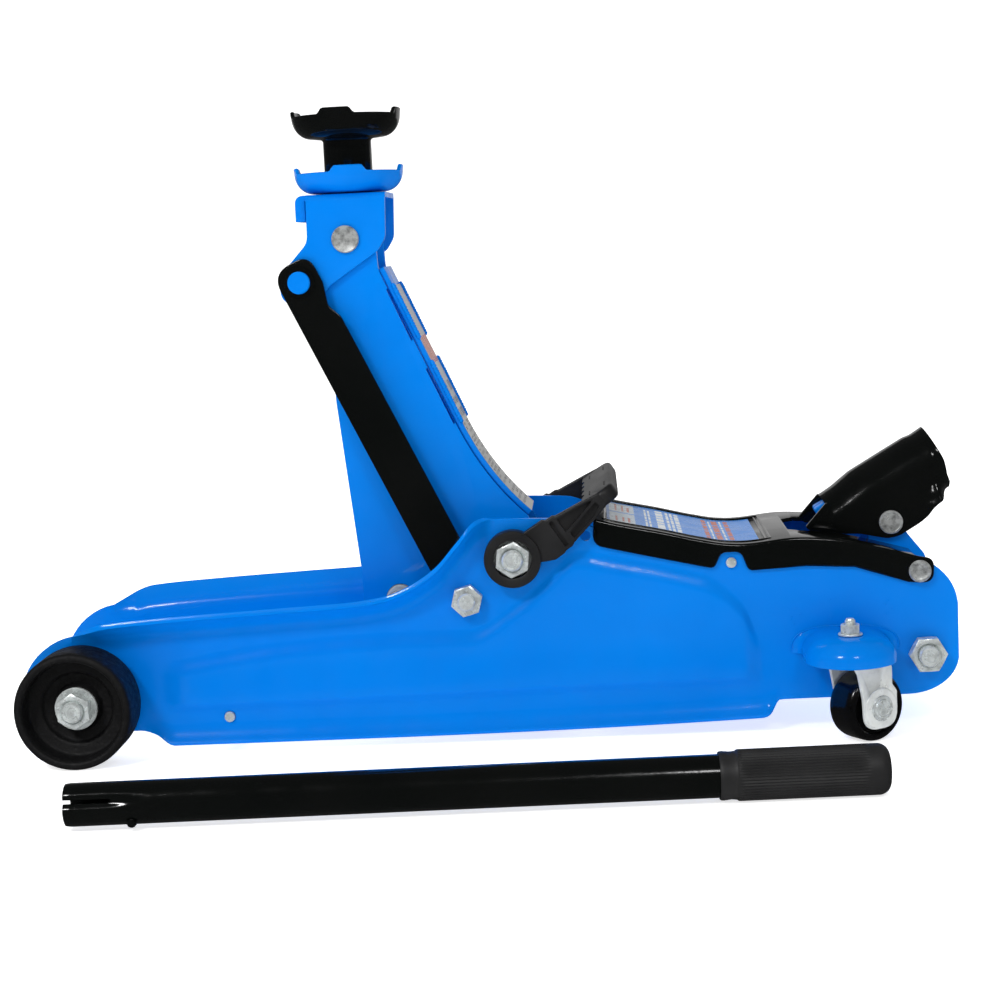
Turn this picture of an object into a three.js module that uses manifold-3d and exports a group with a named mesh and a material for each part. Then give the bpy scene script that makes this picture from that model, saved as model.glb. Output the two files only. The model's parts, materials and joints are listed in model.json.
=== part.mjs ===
// A hydraulic floor jack (trolley jack) with its lift arm raised, and its two-part handle lying beside it.
// Millimetres, +Z up. The jack's front points to -X, its handle end to +X, and its left side to -Y.
// The design frame has X = 0 on the main pivot, Y = 0 midway between the side plates and Z = 0 on the floor.
import * as THREE from "three";
import { mergeVertices } from "three/addons/utils/BufferGeometryUtils.js";
import Module from "manifold-3d";

const wasm = await Module();
wasm.setup();

// ---------------------------------------------------------------- driving dimensions

const GAP = 0.4; // clearance between pieces that touch or turn on each other

// Pivot axes, all parallel to Y, as [x, z].
const MAIN_PIVOT = [0, 107];
const HEAD_PIVOT = [-88.4, 290.1];
// From the main pivot to the link bolt, and from the head pin to the link pin.
const LINK_OFFSET = [-27.2, -23.5];
const LINK_BOLT = [MAIN_PIVOT[0] + LINK_OFFSET[0], MAIN_PIVOT[1] + LINK_OFFSET[1]];
const LINK_PIN = [HEAD_PIVOT[0] + LINK_OFFSET[0], HEAD_PIVOT[1] + LINK_OFFSET[1]];
const RAM_PIVOT = [-68, 81];
const REAR_BOLT = [231.5, 43];
const SOCKET_PIVOT = [217.2, 114.1];
const FRONT_AXLE = [-250.5, 33.5];
const FRONT_ROD = [-167.4, 20.5];
const COVER_ROD = [123, 99];
const COVER_PIN = [228, 90.5];

// Side plates.
const PLATE_INNER = 50;
const SHEET = 3;
const PLATE_OUTER = PLATE_INNER + SHEET;
const PLATE_FRONT = -287.5;
const PLATE_REAR = 249.5;
const LOBE_RADIUS = 37.5;
const FLANGE_OUT = 15;
const FLANGE_DROP = 13;
const CURL_OUT = 5;
const CURL_RISE = 11;
const PANEL_OUT = 3;

// Lift arm, head and saddles.
const ARM_OUTER = 24;
const ARM_SHEET = 4;
const HUB_RADIUS = 13;
const SLIT = 1.2; // how wide the welding slits beside the back plate are
const HEAD_INNER = 24.5;
const HEAD_TOP = 316;
const SADDLE_X = -87.5;
const SADDLE_RADIUS = 32;
const TOOTH = 3.6;
const STEM_RADIUS = 14;

// Link bars lean outwards from the head to the side plates.
const LINK_HALF_WIDTH = 12;
const LINK_TOP_Y = 30;
const LINK_BOTTOM_Y = 44.5;

// Power unit: its axis runs from the rear bolt to the ram pin.
const RAM_RADIUS = 8;
const RAM_LENGTH = 122;
const TUBE_RADIUS = 24;
const TUBE_BORE = 19;
const TUBE_FROM = 82;
const TUBE_TO = 193;
const PLUNGER_X = 224;

// Wheels and casters.
const WHEEL_RADIUS = 33.5;
const WHEEL_INNER_Y = 57;
const WHEEL_OUTER_Y = 87;
const CASTER_X = 185.5;
const CASTER_Y = 80;
const CASTER_TRAIL = 10;
const CASTER_RADIUS = 19.5;
const CASTER_WIDTH = 20;
const CASTER_TURN = { left: 33, right: 12 }; // degrees from straight back towards +Y
const SHELF_TOP = 60;
const SHELF_RADIUS = 25;
const SHELF_BOTTOM = 45.5;
const SHELF_LIP = 48.5;

// Handle on the floor.
const HANDLE_RADIUS = 11;
const GRIP_RADIUS = 13;
const HANDLE_MIDDLE = [-16, -196];
const HANDLE_YAW = 2.3;

// ---------------------------------------------------------------- materials

function paint(color, roughness) {
  return new THREE.MeshStandardMaterial({ color, roughness, metalness: 0.1 });
}
const BLUE = paint(0x0a7fe0, 0.28);
const BLACK = paint(0x101012, 0.25);
const CAST = paint(0x1b1b1c, 0.75);
const PLASTIC = paint(0x161616, 0.6);
const ZINC = new THREE.MeshStandardMaterial({ color: 0xc3c8ca, roughness: 0.35, metalness: 0.9 });
const CHROME = new THREE.MeshStandardMaterial({ color: 0xdfe3e6, roughness: 0.12, metalness: 1 });

// ---------------------------------------------------------------- solids

// A closed three.js geometry as a solid, turned to face out.
function solid(geometry) {
  geometry.deleteAttribute("normal");
  geometry.deleteAttribute("uv");
  const merged = mergeVertices(geometry, 1e-4);
  const triangles = new Uint32Array(merged.index.array);
  const build = () =>
    new wasm.Manifold(
      new wasm.Mesh({ numProp: 3, vertProperties: merged.attributes.position.array, triVerts: triangles }),
    );
  const made = build();
  if (made.volume() > 0) return made;
  for (let i = 0; i < triangles.length; i += 3) {
    [triangles[i + 1], triangles[i + 2]] = [triangles[i + 2], triangles[i + 1]];
  }
  return build();
}

function geometryOf(made) {
  const mesh = made.getMesh();
  const positions = new Float32Array(mesh.numVert * 3);
  for (let i = 0; i < mesh.numVert; i++) {
    positions.set(mesh.vertProperties.subarray(i * mesh.numProp, i * mesh.numProp + 3), i * 3);
  }
  const geometry = new THREE.BufferGeometry();
  geometry.setAttribute("position", new THREE.BufferAttribute(positions, 3));
  geometry.setIndex(new THREE.BufferAttribute(mesh.triVerts, 1));
  geometry.computeVertexNormals();
  return geometry;
}

const join = (...parts) => parts.reduce((a, b) => a.add(b));
const cut = (body, ...tools) => tools.reduce((a, b) => a.subtract(b), body);

// A box between two opposite corners.
function box(x0, x1, y0, y1, z0, z1) {
  const geometry = new THREE.BoxGeometry(x1 - x0, y1 - y0, z1 - z0);
  return solid(geometry.translate((x0 + x1) / 2, (y0 + y1) / 2, (z0 + z1) / 2));
}

// A round bar along Y at [x, z].
function barY([x, z], radius, y0, y1, sides = 14) {
  const geometry = new THREE.CylinderGeometry(radius, radius, Math.abs(y1 - y0), sides);
  return solid(geometry.translate(x, (y0 + y1) / 2, z));
}

// A round bar along Z at (x, y).
function barZ(x, y, radius, z0, z1, sides = 14) {
  const geometry = new THREE.CylinderGeometry(radius, radius, z1 - z0, sides);
  return solid(geometry.rotateX(Math.PI / 2).translate(x, y, (z0 + z1) / 2));
}

// A hexagonal prism along Y, measured across its flats.
function hexY([x, z], acrossFlats, y0, y1, turn = 0) {
  const radius = acrossFlats / Math.sqrt(3);
  const geometry = new THREE.CylinderGeometry(radius, radius, Math.abs(y1 - y0), 6);
  return solid(geometry.rotateY(turn).translate(x, (y0 + y1) / 2, z));
}

// A profile of [radius, height] points turned about Z.
function turnedZ(profile, sides = 32, x = 0, y = 0) {
  const geometry = new THREE.LatheGeometry(profile.map(([r, h]) => new THREE.Vector2(r, h)), sides);
  return solid(geometry.rotateX(Math.PI / 2).translate(x, y, 0));
}

// A profile of [radius, distance] points turned about a Y axis at [x, z]; side is the sign of Y.
function turnedY(profile, [x, z], side = 1, sides = 32) {
  const geometry = new THREE.LatheGeometry(profile.map(([r, h]) => new THREE.Vector2(r, h * side)), sides);
  return solid(geometry.translate(x, 0, z));
}

// A closed outline of [x, z, corner radius] points.
function outline(corners) {
  const shape = new THREE.Shape();
  const count = corners.length;
  corners.forEach(([x, z, radius = 0], i) => {
    const here = new THREE.Vector2(x, z);
    const before = new THREE.Vector2(...corners[(i + count - 1) % count]);
    const after = new THREE.Vector2(...corners[(i + 1) % count]);
    const inward = before.clone().sub(here).normalize();
    const outward = after.clone().sub(here).normalize();
    const half = Math.acos(THREE.MathUtils.clamp(inward.dot(outward), -1, 1)) / 2;
    const reach = Math.min(
      radius / Math.tan(half),
      here.distanceTo(before) / 2.01,
      here.distanceTo(after) / 2.01,
    );
    const enter = here.clone().addScaledVector(inward, reach);
    const leave = here.clone().addScaledVector(outward, reach);
    if (i === 0) shape.moveTo(enter.x, enter.y);
    else shape.lineTo(enter.x, enter.y);
    if (reach > 1e-3) shape.quadraticCurveTo(here.x, here.y, leave.x, leave.y);
  });
  return shape;
}

// An outline in the XZ plane, thick along Y.
function slab(shape, y0, y1, curveSegments = 3) {
  const geometry = new THREE.ExtrudeGeometry(shape, { depth: y1 - y0, bevelEnabled: false, curveSegments });
  return solid(geometry.rotateX(Math.PI / 2).translate(0, y1, 0));
}

// A closed outline of a strip that follows a line of points, lying between two offsets to its left.
function strip(points, near, far) {
  const offset = (distance) =>
    points.map((p, i) => {
      const a = points[Math.max(i - 1, 0)];
      const b = points[Math.min(i + 1, points.length - 1)];
      const along = new THREE.Vector2(b[0] - a[0], b[1] - a[1]).normalize();
      return [p[0] - along.y * distance, p[1] + along.x * distance];
    });
  return outline([...offset(near), ...offset(far).reverse()]);
}

// The height of a smooth line through [x, z] knots, without overshoot (monotone cubic).
function smooth(knots, x) {
  const last = knots.length - 1;
  if (x <= knots[0][0]) return knots[0][1];
  if (x >= knots[last][0]) return knots[last][1];
  const slope = knots.slice(1).map((k, i) => (k[1] - knots[i][1]) / (k[0] - knots[i][0]));
  const tangent = knots.map((k, i) => {
    if (i === 0) return slope[0];
    if (i === last) return slope[last - 1];
    const [a, b] = [slope[i - 1], slope[i]];
    return a * b <= 0 ? 0 : (2 * a * b) / (a + b);
  });
  const i = knots.findIndex((k) => k[0] > x) - 1;
  const width = knots[i + 1][0] - knots[i][0];
  const t = (x - knots[i][0]) / width;
  return (
    (2 * t ** 3 - 3 * t ** 2 + 1) * knots[i][1] +
    (t ** 3 - 2 * t ** 2 + t) * width * tangent[i] +
    (3 * t ** 2 - 2 * t ** 3) * knots[i + 1][1] +
    (t ** 3 - t ** 2) * width * tangent[i + 1]
  );
}

// 0 below a, 1 above b, smooth between.
const ramp = (x, a, b) => THREE.MathUtils.smoothstep(x, a, b);

const jack = new THREE.Group();

function piece(name, made, material, parent = jack) {
  const mesh = new THREE.Mesh(geometryOf(made), material);
  mesh.name = name;
  parent.add(mesh);
  return mesh;
}

const SIDES = [
  ["left", -1],
  ["right", 1],
];

// ---------------------------------------------------------------- side plates

const PLATE_TOP = [
  [-258, 70],
  [-252, 71.5],
  [-233, 77],
  [-190, 79.8],
  [-133, 82.3],
  [-97, 83.8],
  [-74, 86.5],
  [-60, 91.5],
  [-44, 101.5],
  [-31, 115.5],
  [-20, 127],
  [-12, 129],
  [30, 127.5],
  [48, 121.5],
  [84, 113.5],
  [110, 107],
  [126, 105.5],
  [160, 107.5],
  [190, 103.5],
  [221, 97.5],
];
const PLATE_BOTTOM = [
  [-262, 14],
  [-220, 14],
  [-211, 12],
  [-200, 7],
  [-70, 7.3],
  [137, 11],
  [143, 12.5],
  [148, 18.8],
  [152, 19],
  [221, 19.5],
];
const PANEL_TOP = [
  [-200, 50],
  [-120, 60],
  [-60, 62],
  [-27, 62],
  [0, 76],
  [20, 92],
  [36, 104],
  [80, 98],
  [110, 87],
  [128, 72],
  [138, 50],
];
const REAR_ROUND = { x: 221, radius: 28.5 };

// Half the height of a round end of the plate at distance d from its middle.
const roundEnd = (d, radius) => Math.sqrt(Math.max(radius ** 2 - d ** 2, 4));

function plateTop(x) {
  if (x < PLATE_TOP[0][0]) return FRONT_AXLE[1] + roundEnd(x - FRONT_AXLE[0], LOBE_RADIUS);
  if (x > REAR_ROUND.x) return 97.5 - REAR_ROUND.radius + roundEnd(x - REAR_ROUND.x, REAR_ROUND.radius);
  return smooth(PLATE_TOP, x);
}

function plateBottom(x) {
  if (x < PLATE_BOTTOM[0][0]) {
    return Math.max(14, FRONT_AXLE[1] - roundEnd(x - FRONT_AXLE[0], LOBE_RADIUS));
  }
  if (x > REAR_ROUND.x) return 19.5 + 22 - roundEnd((x - REAR_ROUND.x) * 0.77, 22);
  return smooth(PLATE_BOTTOM, x);
}

// Heights where the raised panel starts to rise, is fully raised, starts to fall and has ended.
function panelEdges(x) {
  const low = 23 + 4 * ramp(x, -190, 120);
  const high = Math.min(smooth(PANEL_TOP, x) + 5, plateTop(x) - FLANGE_DROP - 1);
  return [low, low + 7, high - 11, high];
}

// How far the pressed sheet stands out from the flat web at (x, z).
function pressing(x, z) {
  const top = plateTop(x);
  const bottom = plateBottom(x);
  const flange = ramp(x, -258, -236) * (1 - ramp(x, -27, -10));
  const fromTop = THREE.MathUtils.clamp((top - z) / FLANGE_DROP, 0, 1);
  const curl = ramp(x, -218, -200) * (1 - ramp(x, 140, 148));
  const fromBottom = THREE.MathUtils.clamp((z - bottom) / CURL_RISE, 0, 1);
  const [low, lowFull, highFull, high] = panelEdges(x);
  const along = ramp(x, -206, -190) * (1 - ramp(x, 128, 140));
  const panel = along * ramp(z, low, lowFull) * (1 - ramp(z, highFull, high));
  const flangeOut = flange * FLANGE_OUT * (1 - fromTop) ** 2.2;
  return flangeOut + curl * CURL_OUT * (1 - fromBottom) ** 2 + PANEL_OUT * panel;
}

// Stations along the plate: close together where the outline bends.
function plateStations() {
  const stations = [];
  for (let k = 0; k < 5; k++) {
    stations.push(FRONT_AXLE[0] - (FRONT_AXLE[0] - PLATE_FRONT) * Math.cos((k * Math.PI) / 10));
  }
  stations.push(-246, -236, -220, -210, -200, -190, -160, -130, -100);
  for (let x = -84; x <= -10; x += 8) stations.push(x);
  stations.push(6, 22, 36, 50, 70, 90, 106, 120, 130, 138, 144, 149, 160, 190);
  for (let k = 0; k <= 5; k++) {
    stations.push(REAR_ROUND.x + (PLATE_REAR - REAR_ROUND.x) * Math.sin((k * Math.PI) / 10));
  }
  return stations.sort((a, b) => a - b);
}

// Rows up the plate: heights above its bottom edge, shares of what is left, and depths below its top edge.
// Along the raised panel, the middle rows follow the panel's edges instead.
const LOW_ROWS = [0, 5, 11];
const MIDDLE_ROWS = [0.15, 0.3, 0.6, 0.8];
const HIGH_ROWS = [13, 7, 3, 0];

function plateRow(x, row) {
  const bottom = plateBottom(x);
  const top = plateTop(x);
  const squeeze = Math.min(1, (top - bottom) / 45);
  const low = bottom + LOW_ROWS.at(-1) * squeeze;
  const high = top - HIGH_ROWS[0] * squeeze;
  if (row < LOW_ROWS.length) return bottom + LOW_ROWS[row] * squeeze;
  const middle = row - LOW_ROWS.length;
  if (middle < MIDDLE_ROWS.length) {
    const onPanel = x > -206 && x < 140;
    return onPanel ? panelEdges(x)[middle] : low + (high - low) * MIDDLE_ROWS[middle];
  }
  return top - HIGH_ROWS[middle - MIDDLE_ROWS.length] * squeeze;
}

function pressedPlate(side) {
  const stations = plateStations();
  const rows = LOW_ROWS.length + MIDDLE_ROWS.length + HIGH_ROWS.length;
  const positions = [];
  for (const x of stations) {
    const outer = [];
    for (let j = 0; j < rows; j++) {
      const z = plateRow(x, j);
      outer.push(new THREE.Vector2(PLATE_OUTER + pressing(x, z), z));
    }
    outer.forEach((p) => positions.push(x, side * p.x, p.y));
    outer.forEach((p, j) => {
      const along = outer[Math.min(j + 1, rows - 1)].clone().sub(outer[Math.max(j - 1, 0)]).normalize();
      positions.push(x, side * (p.x - along.y * SHEET), p.y + along.x * SHEET);
    });
  }
  const outerAt = (i, j) => i * 2 * rows + j;
  const innerAt = (i, j) => outerAt(i, j) + rows;
  const index = [];
  const quad = (a, b, c, d) => index.push(a, b, c, a, c, d);
  for (let i = 0; i + 1 < stations.length; i++) {
    for (let j = 0; j + 1 < rows; j++) {
      quad(outerAt(i, j), outerAt(i + 1, j), outerAt(i + 1, j + 1), outerAt(i, j + 1));
      quad(innerAt(i, j), innerAt(i, j + 1), innerAt(i + 1, j + 1), innerAt(i + 1, j));
    }
    quad(outerAt(i, 0), innerAt(i, 0), innerAt(i + 1, 0), outerAt(i + 1, 0));
    quad(outerAt(i, rows - 1), outerAt(i + 1, rows - 1), innerAt(i + 1, rows - 1), innerAt(i, rows - 1));
  }
  const end = stations.length - 1;
  for (let j = 0; j + 1 < rows; j++) {
    quad(outerAt(0, j), outerAt(0, j + 1), innerAt(0, j + 1), innerAt(0, j));
    quad(outerAt(end, j), innerAt(end, j), innerAt(end, j + 1), outerAt(end, j + 1));
  }
  const geometry = new THREE.BufferGeometry();
  geometry.setAttribute("position", new THREE.Float32BufferAttribute(positions, 3));
  geometry.setIndex(index);
  return solid(geometry);
}

function sidePlate(side) {
  const hole = (at, radius) => barY(at, radius, side * 40, side * 75);
  return cut(
    pressedPlate(side),
    hole(FRONT_AXLE, 6 + GAP),
    hole(MAIN_PIVOT, 6 + GAP),
    hole(LINK_BOLT, 5 + GAP),
    hole(REAR_BOLT, 6 + GAP),
    hole(FRONT_ROD, 2.9 + GAP),
    hole(COVER_ROD, 2.5 + GAP),
    hole(COVER_PIN, 4 + GAP),
    hole([41.5, 117.5], 3),
  );
}

for (const [name, side] of SIDES) piece(`side_plate_${name}`, sidePlate(side), BLUE);

// ---------------------------------------------------------------- cross members and their fasteners

const axle = (at, radius, reach) => barY(at, radius, -reach, reach);

// A pin with an upset head at each end.
function headedPin(at, radius, headRadius, reach, headLength) {
  const heads = SIDES.map(([, side]) => barY(at, headRadius, side * (reach - headLength), side * reach));
  return join(axle(at, radius, reach), ...heads);
}

function ringNut(at, acrossFlats, bore, y0, y1, side, turn = 0) {
  const blank = hexY(at, acrossFlats, side * y0, side * y1, turn);
  return cut(blank, barY(at, bore, side * (y0 - 1), side * (y1 + 1)));
}

function washer(at, radius, bore, y0, y1, side) {
  return cut(barY(at, radius, side * y0, side * y1), barY(at, bore, side * (y0 - 1), side * (y1 + 1)));
}

piece("front_axle", join(axle(FRONT_AXLE, 6, 88), axle(FRONT_AXLE, 9.5, PLATE_INNER - GAP)), ZINC);
piece("main_pivot_shaft", axle(MAIN_PIVOT, 6, 69), ZINC);
piece("rear_tie_bolt", axle(REAR_BOLT, 6, 66), ZINC);
piece("front_tie_rod", join(axle(FRONT_ROD, 2.9, 54.6), axle(FRONT_ROD, 5, PLATE_INNER - GAP)), ZINC);
piece("cover_rod", axle(COVER_ROD, 2.5, 55), ZINC);

for (const [name, side] of SIDES) {
  piece(`axle_washer_${name}`, washer(FRONT_AXLE, 12.2, 6 + GAP, 74.5, 76.5, side), ZINC);
  piece(`axle_nut_${name}`, ringNut(FRONT_AXLE, 18, 6 + GAP, 76.9, 84.5, side, 0.2), ZINC);
  const collar = washer(MAIN_PIVOT, 11.2, 6 + GAP, 53.4, 57.5, side);
  const pivotNut = ringNut(MAIN_PIVOT, 18, 6 + GAP, 57.4, 65.5, side, 0.1);
  piece(`main_pivot_nut_${name}`, join(collar, pivotNut), ZINC);
  piece(`rear_tie_nut_${name}`, ringNut(REAR_BOLT, 18.5, 6 + GAP, 53.4, 61.5, side, 0.5), ZINC);
  const linkBolt = join(
    hexY(LINK_BOLT, 16.5, side * 53.4, side * 60, 0.25),
    barY(LINK_BOLT, 5, side * 42, side * 63.5),
    barY(LINK_BOLT, 8.5, side * 46.9, side * (PLATE_INNER - GAP)),
    barY(LINK_BOLT, 8.5, side * 41, side * 42.2),
  );
  piece(`link_bolt_${name}`, linkBolt, ZINC);
  const coverPinHead = barY(COVER_PIN, 6.3, side * 56.9, side * 58.4);
  const coverPin = join(barY(COVER_PIN, 4, side * 47, side * 57.5), coverPinHead);
  piece(`cover_pin_${name}`, coverPin, ZINC);
}

// ---------------------------------------------------------------- rear cover

const COVER_OUTER = 56;
const COVER_INNER = 53.8;
const SLOT_FRONT = 158;
const SLOT_HALF = 28;
const COVER_TOP = [
  [45.5, 127.5],
  [60, 123.6],
  [84, 118.3],
  [106, 112.9],
  [121, 110.1],
  [130, 109.6],
  [160, 112],
  [180, 110.6],
  [200, 106.4],
  [228, 98.6],
];

function coverOutline(lower) {
  const top = [];
  for (let x = 45.5; x <= 228; x += 7.3) top.push([x, smooth(COVER_TOP, x) - lower]);
  return top.reverse();
}

function rearCover() {
  const skirt = [
    [45.5, 112, 6],
    [72, 105.6],
    [106, 97.6],
    [113.5, 96, 4],
    [117.5, 105, 4],
    [128.5, 105, 4],
    [132.5, 94, 4],
    [165, 95.4],
    [192, 93.8],
    [222, 84, 3],
    [236.2, 83, 7],
    [236.2, 97, 7],
  ];
  const hollow = [
    [40, 60],
    [250, 60],
    [250, smooth(COVER_TOP, 228) - 6],
  ];
  return cut(
    slab(outline([...skirt, ...coverOutline(0)]), -COVER_OUTER, COVER_OUTER),
    slab(outline([...hollow, ...coverOutline(2.2)]), -COVER_INNER, COVER_INNER),
    box(SLOT_FRONT, 250, -SLOT_HALF, SLOT_HALF, 80, 130),
    box(226, 250, -COVER_INNER, COVER_INNER, 80, 100),
    barY(COVER_ROD, 4.5, -60, 60),
    barY(COVER_PIN, 4 + GAP, -60, 60),
  );
}
piece("rear_cover", rearCover(), BLACK);

// ---------------------------------------------------------------- front wheels

for (const [name, side] of SIDES) {
  const profile = [
    [6 + GAP, WHEEL_INNER_Y - 2],
    [14, WHEEL_INNER_Y - 2],
    [15, WHEEL_INNER_Y],
    [31.5, WHEEL_INNER_Y],
    [WHEEL_RADIUS, WHEEL_INNER_Y + 2],
    [WHEEL_RADIUS, WHEEL_OUTER_Y - 2],
    [32, WHEEL_OUTER_Y],
    [28.6, WHEEL_OUTER_Y],
    [27.6, WHEEL_OUTER_Y - 12],
    [20.5, WHEEL_OUTER_Y - 13.5],
    [19.5, WHEEL_OUTER_Y - 16],
    [13.5, WHEEL_OUTER_Y - 17],
    [13.2, 74.1],
    [6 + GAP, 74.1],
    [6 + GAP, WHEEL_INNER_Y - 2],
  ];
  piece(`front_wheel_${name}`, turnedY(profile, FRONT_AXLE, side, 24), CAST);
}

// ---------------------------------------------------------------- casters

function casterShelf(side) {
  const wall = side * (PLATE_OUTER + GAP);
  const dome = (radius, top, bottom) => {
    const edge = [
      [radius, bottom],
      [radius, SHELF_LIP],
      [radius - 1.6, top - 7],
      [radius - 5, top - 3.4],
      [radius - 10, top - 1],
      [radius - 15, top],
    ];
    const cap = turnedZ([[0, bottom], ...edge, [0, top]], 22, CASTER_X, side * CASTER_Y);
    const right = edge.map(([r, h]) => [CASTER_X + r + 0.1, h]);
    const left = edge.map(([r, h]) => [CASTER_X - r - 0.1, h]).reverse();
    const [y0, y1] = [wall, side * CASTER_Y].sort((a, b) => a - b);
    const neck = slab(outline([...right, ...left]), y0, y1);
    return join(cap, neck);
  };
  return cut(
    dome(SHELF_RADIUS, SHELF_TOP, SHELF_BOTTOM),
    dome(SHELF_RADIUS - 2.5, SHELF_TOP - 2.6, SHELF_BOTTOM - 4),
    barZ(CASTER_X, side * CASTER_Y, 3 + GAP, 40, 70),
  );
}

// One caster in its own frame: swivel axis at x = y = 0, wheel trailing towards +X, floor at z = 0.
function caster(name, parent) {
  const wheelAt = [CASTER_TRAIL, CASTER_RADIUS];
  const half = CASTER_WIDTH / 2;
  const legInner = half + 0.8;
  const legOuter = legInner + 2;
  const leg = (y0, y1) =>
    slab(
      outline([
        [-9, 54, 2],
        [-9, 46, 4],
        [-5.5, 40, 4],
        [-2.5, 26, 4],
        [-1.5, 8, 10],
        [21.5, 8, 10],
        [21.5, 28, 4],
        [18.4, 32, 2],
        [18.4, 42, 3],
        [13, 48, 3],
        [12, 54, 2],
      ]),
      y0,
      y1,
    );
  const fork = cut(
    join(leg(-legOuter, -legInner), leg(legInner, legOuter), box(-9, 12, -legOuter, legOuter, 51.7, 54)),
    barY(wheelAt, 3 + GAP, -20, 20),
    barZ(0, 0, 3 + GAP, 40, 60),
  );
  piece(`caster_fork_${name}`, fork, ZINC, parent);
  const tread = [
    [3 + GAP, -half],
    [7, -half],
    [8, -half + 1.5],
    [14.5, -half + 1.5],
    [15.5, -half],
    [17.9, -half],
    [CASTER_RADIUS, -half + 3],
  ];
  const mirrored = tread.map(([r, h]) => [r, -h]).reverse();
  const wheel = turnedY([...tread, ...mirrored, tread[0]], wheelAt, 1, 20);
  piece(`caster_wheel_${name}`, wheel, PLASTIC, parent);
  const rivet = join(
    barY(wheelAt, 3, -legOuter - 1, legOuter + 1),
    barY(wheelAt, 5.2, legOuter + 0.35, legOuter + 2),
    barY(wheelAt, 5.2, -legOuter - 2, -legOuter - 0.35),
  );
  piece(`caster_axle_${name}`, rivet, ZINC, parent);
}

for (const [name, side] of SIDES) {
  piece(`caster_bracket_${name}`, casterShelf(side), BLUE);
  const kingBolt = join(
    barZ(CASTER_X, side * CASTER_Y, 3, 47, 69.5),
    barZ(CASTER_X, side * CASTER_Y, 6.5, 46.5, 51.2),
  );
  piece(`caster_bolt_${name}`, kingBolt, ZINC);
  const nut = new THREE.CylinderGeometry(5.8, 5.8, 5, 6).rotateX(Math.PI / 2);
  const nutWithWasher = cut(
    join(
      solid(nut.translate(CASTER_X, side * CASTER_Y, 63.9)),
      barZ(CASTER_X, side * CASTER_Y, 6.8, SHELF_TOP + 0.35, 61.6),
    ),
    barZ(CASTER_X, side * CASTER_Y, 3 + GAP, 50, 75),
  );
  piece(`caster_nut_${name}`, nutWithWasher, ZINC);
  const swivel = new THREE.Group();
  swivel.position.set(CASTER_X, side * CASTER_Y, 0);
  swivel.rotation.z = THREE.MathUtils.degToRad(CASTER_TURN[name]);
  jack.add(swivel);
  caster(name, swivel);
}

// ---------------------------------------------------------------- lift arm

// The curved back edge of the arm, from the head down to the hub.
function backLine() {
  const curve = new THREE.QuadraticBezierCurve(
    new THREE.Vector2(-29.5, 179),
    new THREE.Vector2(-15, 148),
    new THREE.Vector2(8.5, 126.5),
  );
  return [[-71, 272], [-29.5, 179], ...curve.getPoints(7).slice(1).map((p) => [p.x, p.y])];
}

function armCheek(side) {
  const shape = outline([
    [HEAD_PIVOT[0] - 16, HEAD_PIVOT[1] + 16, 16],
    [HEAD_PIVOT[0] + 16, HEAD_PIVOT[1] + 16, 16],
    ...backLine(),
    [20, 104, 12],
    [6, 85, 12],
    [-54, 60, 14],
    [-89, 61, 18],
    [-90, 98, 10],
    [-99.3, 196, 60],
  ]);
  const [y0, y1] = side < 0 ? [-ARM_OUTER, -ARM_OUTER + ARM_SHEET] : [ARM_OUTER - ARM_SHEET, ARM_OUTER];
  const slit = (from, to) => slab(strip([from, to], -SLIT, 0), y0 - 1, y1 + 1);
  return cut(
    slab(shape, y0, y1),
    slit([-66, 261], [-53, 231]),
    slit([-45.5, 214.5], [-31, 182]),
    barY(HEAD_PIVOT, 8 + GAP, side * 10, side * 40),
    barY(MAIN_PIVOT, HUB_RADIUS + GAP, side * 10, side * 60),
    barY(RAM_PIVOT, 8 + GAP, side * 10, side * 40),
  );
}

for (const [name, side] of SIDES) piece(`arm_cheek_${name}`, armCheek(side), BLUE);
piece("arm_back_plate", slab(strip(backLine(), GAP, GAP + SHEET), -22, 22), BLUE);
const hubCore = cut(axle(MAIN_PIVOT, HUB_RADIUS, PLATE_INNER - GAP), axle(MAIN_PIVOT, 6 + GAP, 60));
piece("arm_hub", hubCore, ZINC);
piece("ram_pin", join(axle(RAM_PIVOT, 8, 26), axle(RAM_PIVOT, 10.5, 19.6 - 4)), ZINC);

// ---------------------------------------------------------------- head and saddles

function headBracket() {
  const shape = outline([
    [-110, HEAD_TOP, 2],
    [-64.5, HEAD_TOP, 2],
    [-65.5, 290, 8],
    [-70, 283, 6],
    [-99, 264, 6],
    [-106, 254.5, 8],
    [-127, 254.5, 12],
    [-128, 270, 8],
    [-110.5, 289, 8],
  ]);
  const outer = HEAD_INNER + SHEET;
  const tab = slab(
    outline([
      [-117, HEAD_TOP, 4],
      [-108, HEAD_TOP],
      [-108, HEAD_TOP - SHEET],
      [-113.8, HEAD_TOP - SHEET, 2],
      [-113.8, 301],
      [-117, 301],
    ]),
    -22,
    22,
  );
  const cheeks = [slab(shape, -outer, -HEAD_INNER), slab(shape, HEAD_INNER, outer)];
  const roof = box(-110, -64.5, -outer, outer, HEAD_TOP - SHEET, HEAD_TOP);
  return cut(
    join(...cheeks, roof, tab),
    barY(HEAD_PIVOT, 7 + GAP, -40, 40),
    barY(LINK_PIN, 5.5 + GAP, -40, 40),
    barZ(SADDLE_X, 0, 13 + GAP, 300, 330),
  );
}
piece("head_bracket", headBracket(), BLUE);
piece("head_pin", headedPin(HEAD_PIVOT, 7, 7.8, 29.6, 1.6), ZINC);
piece("link_pin", headedPin(LINK_PIN, 5.5, 6.4, 35.5, 2.5), BLUE);

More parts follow.
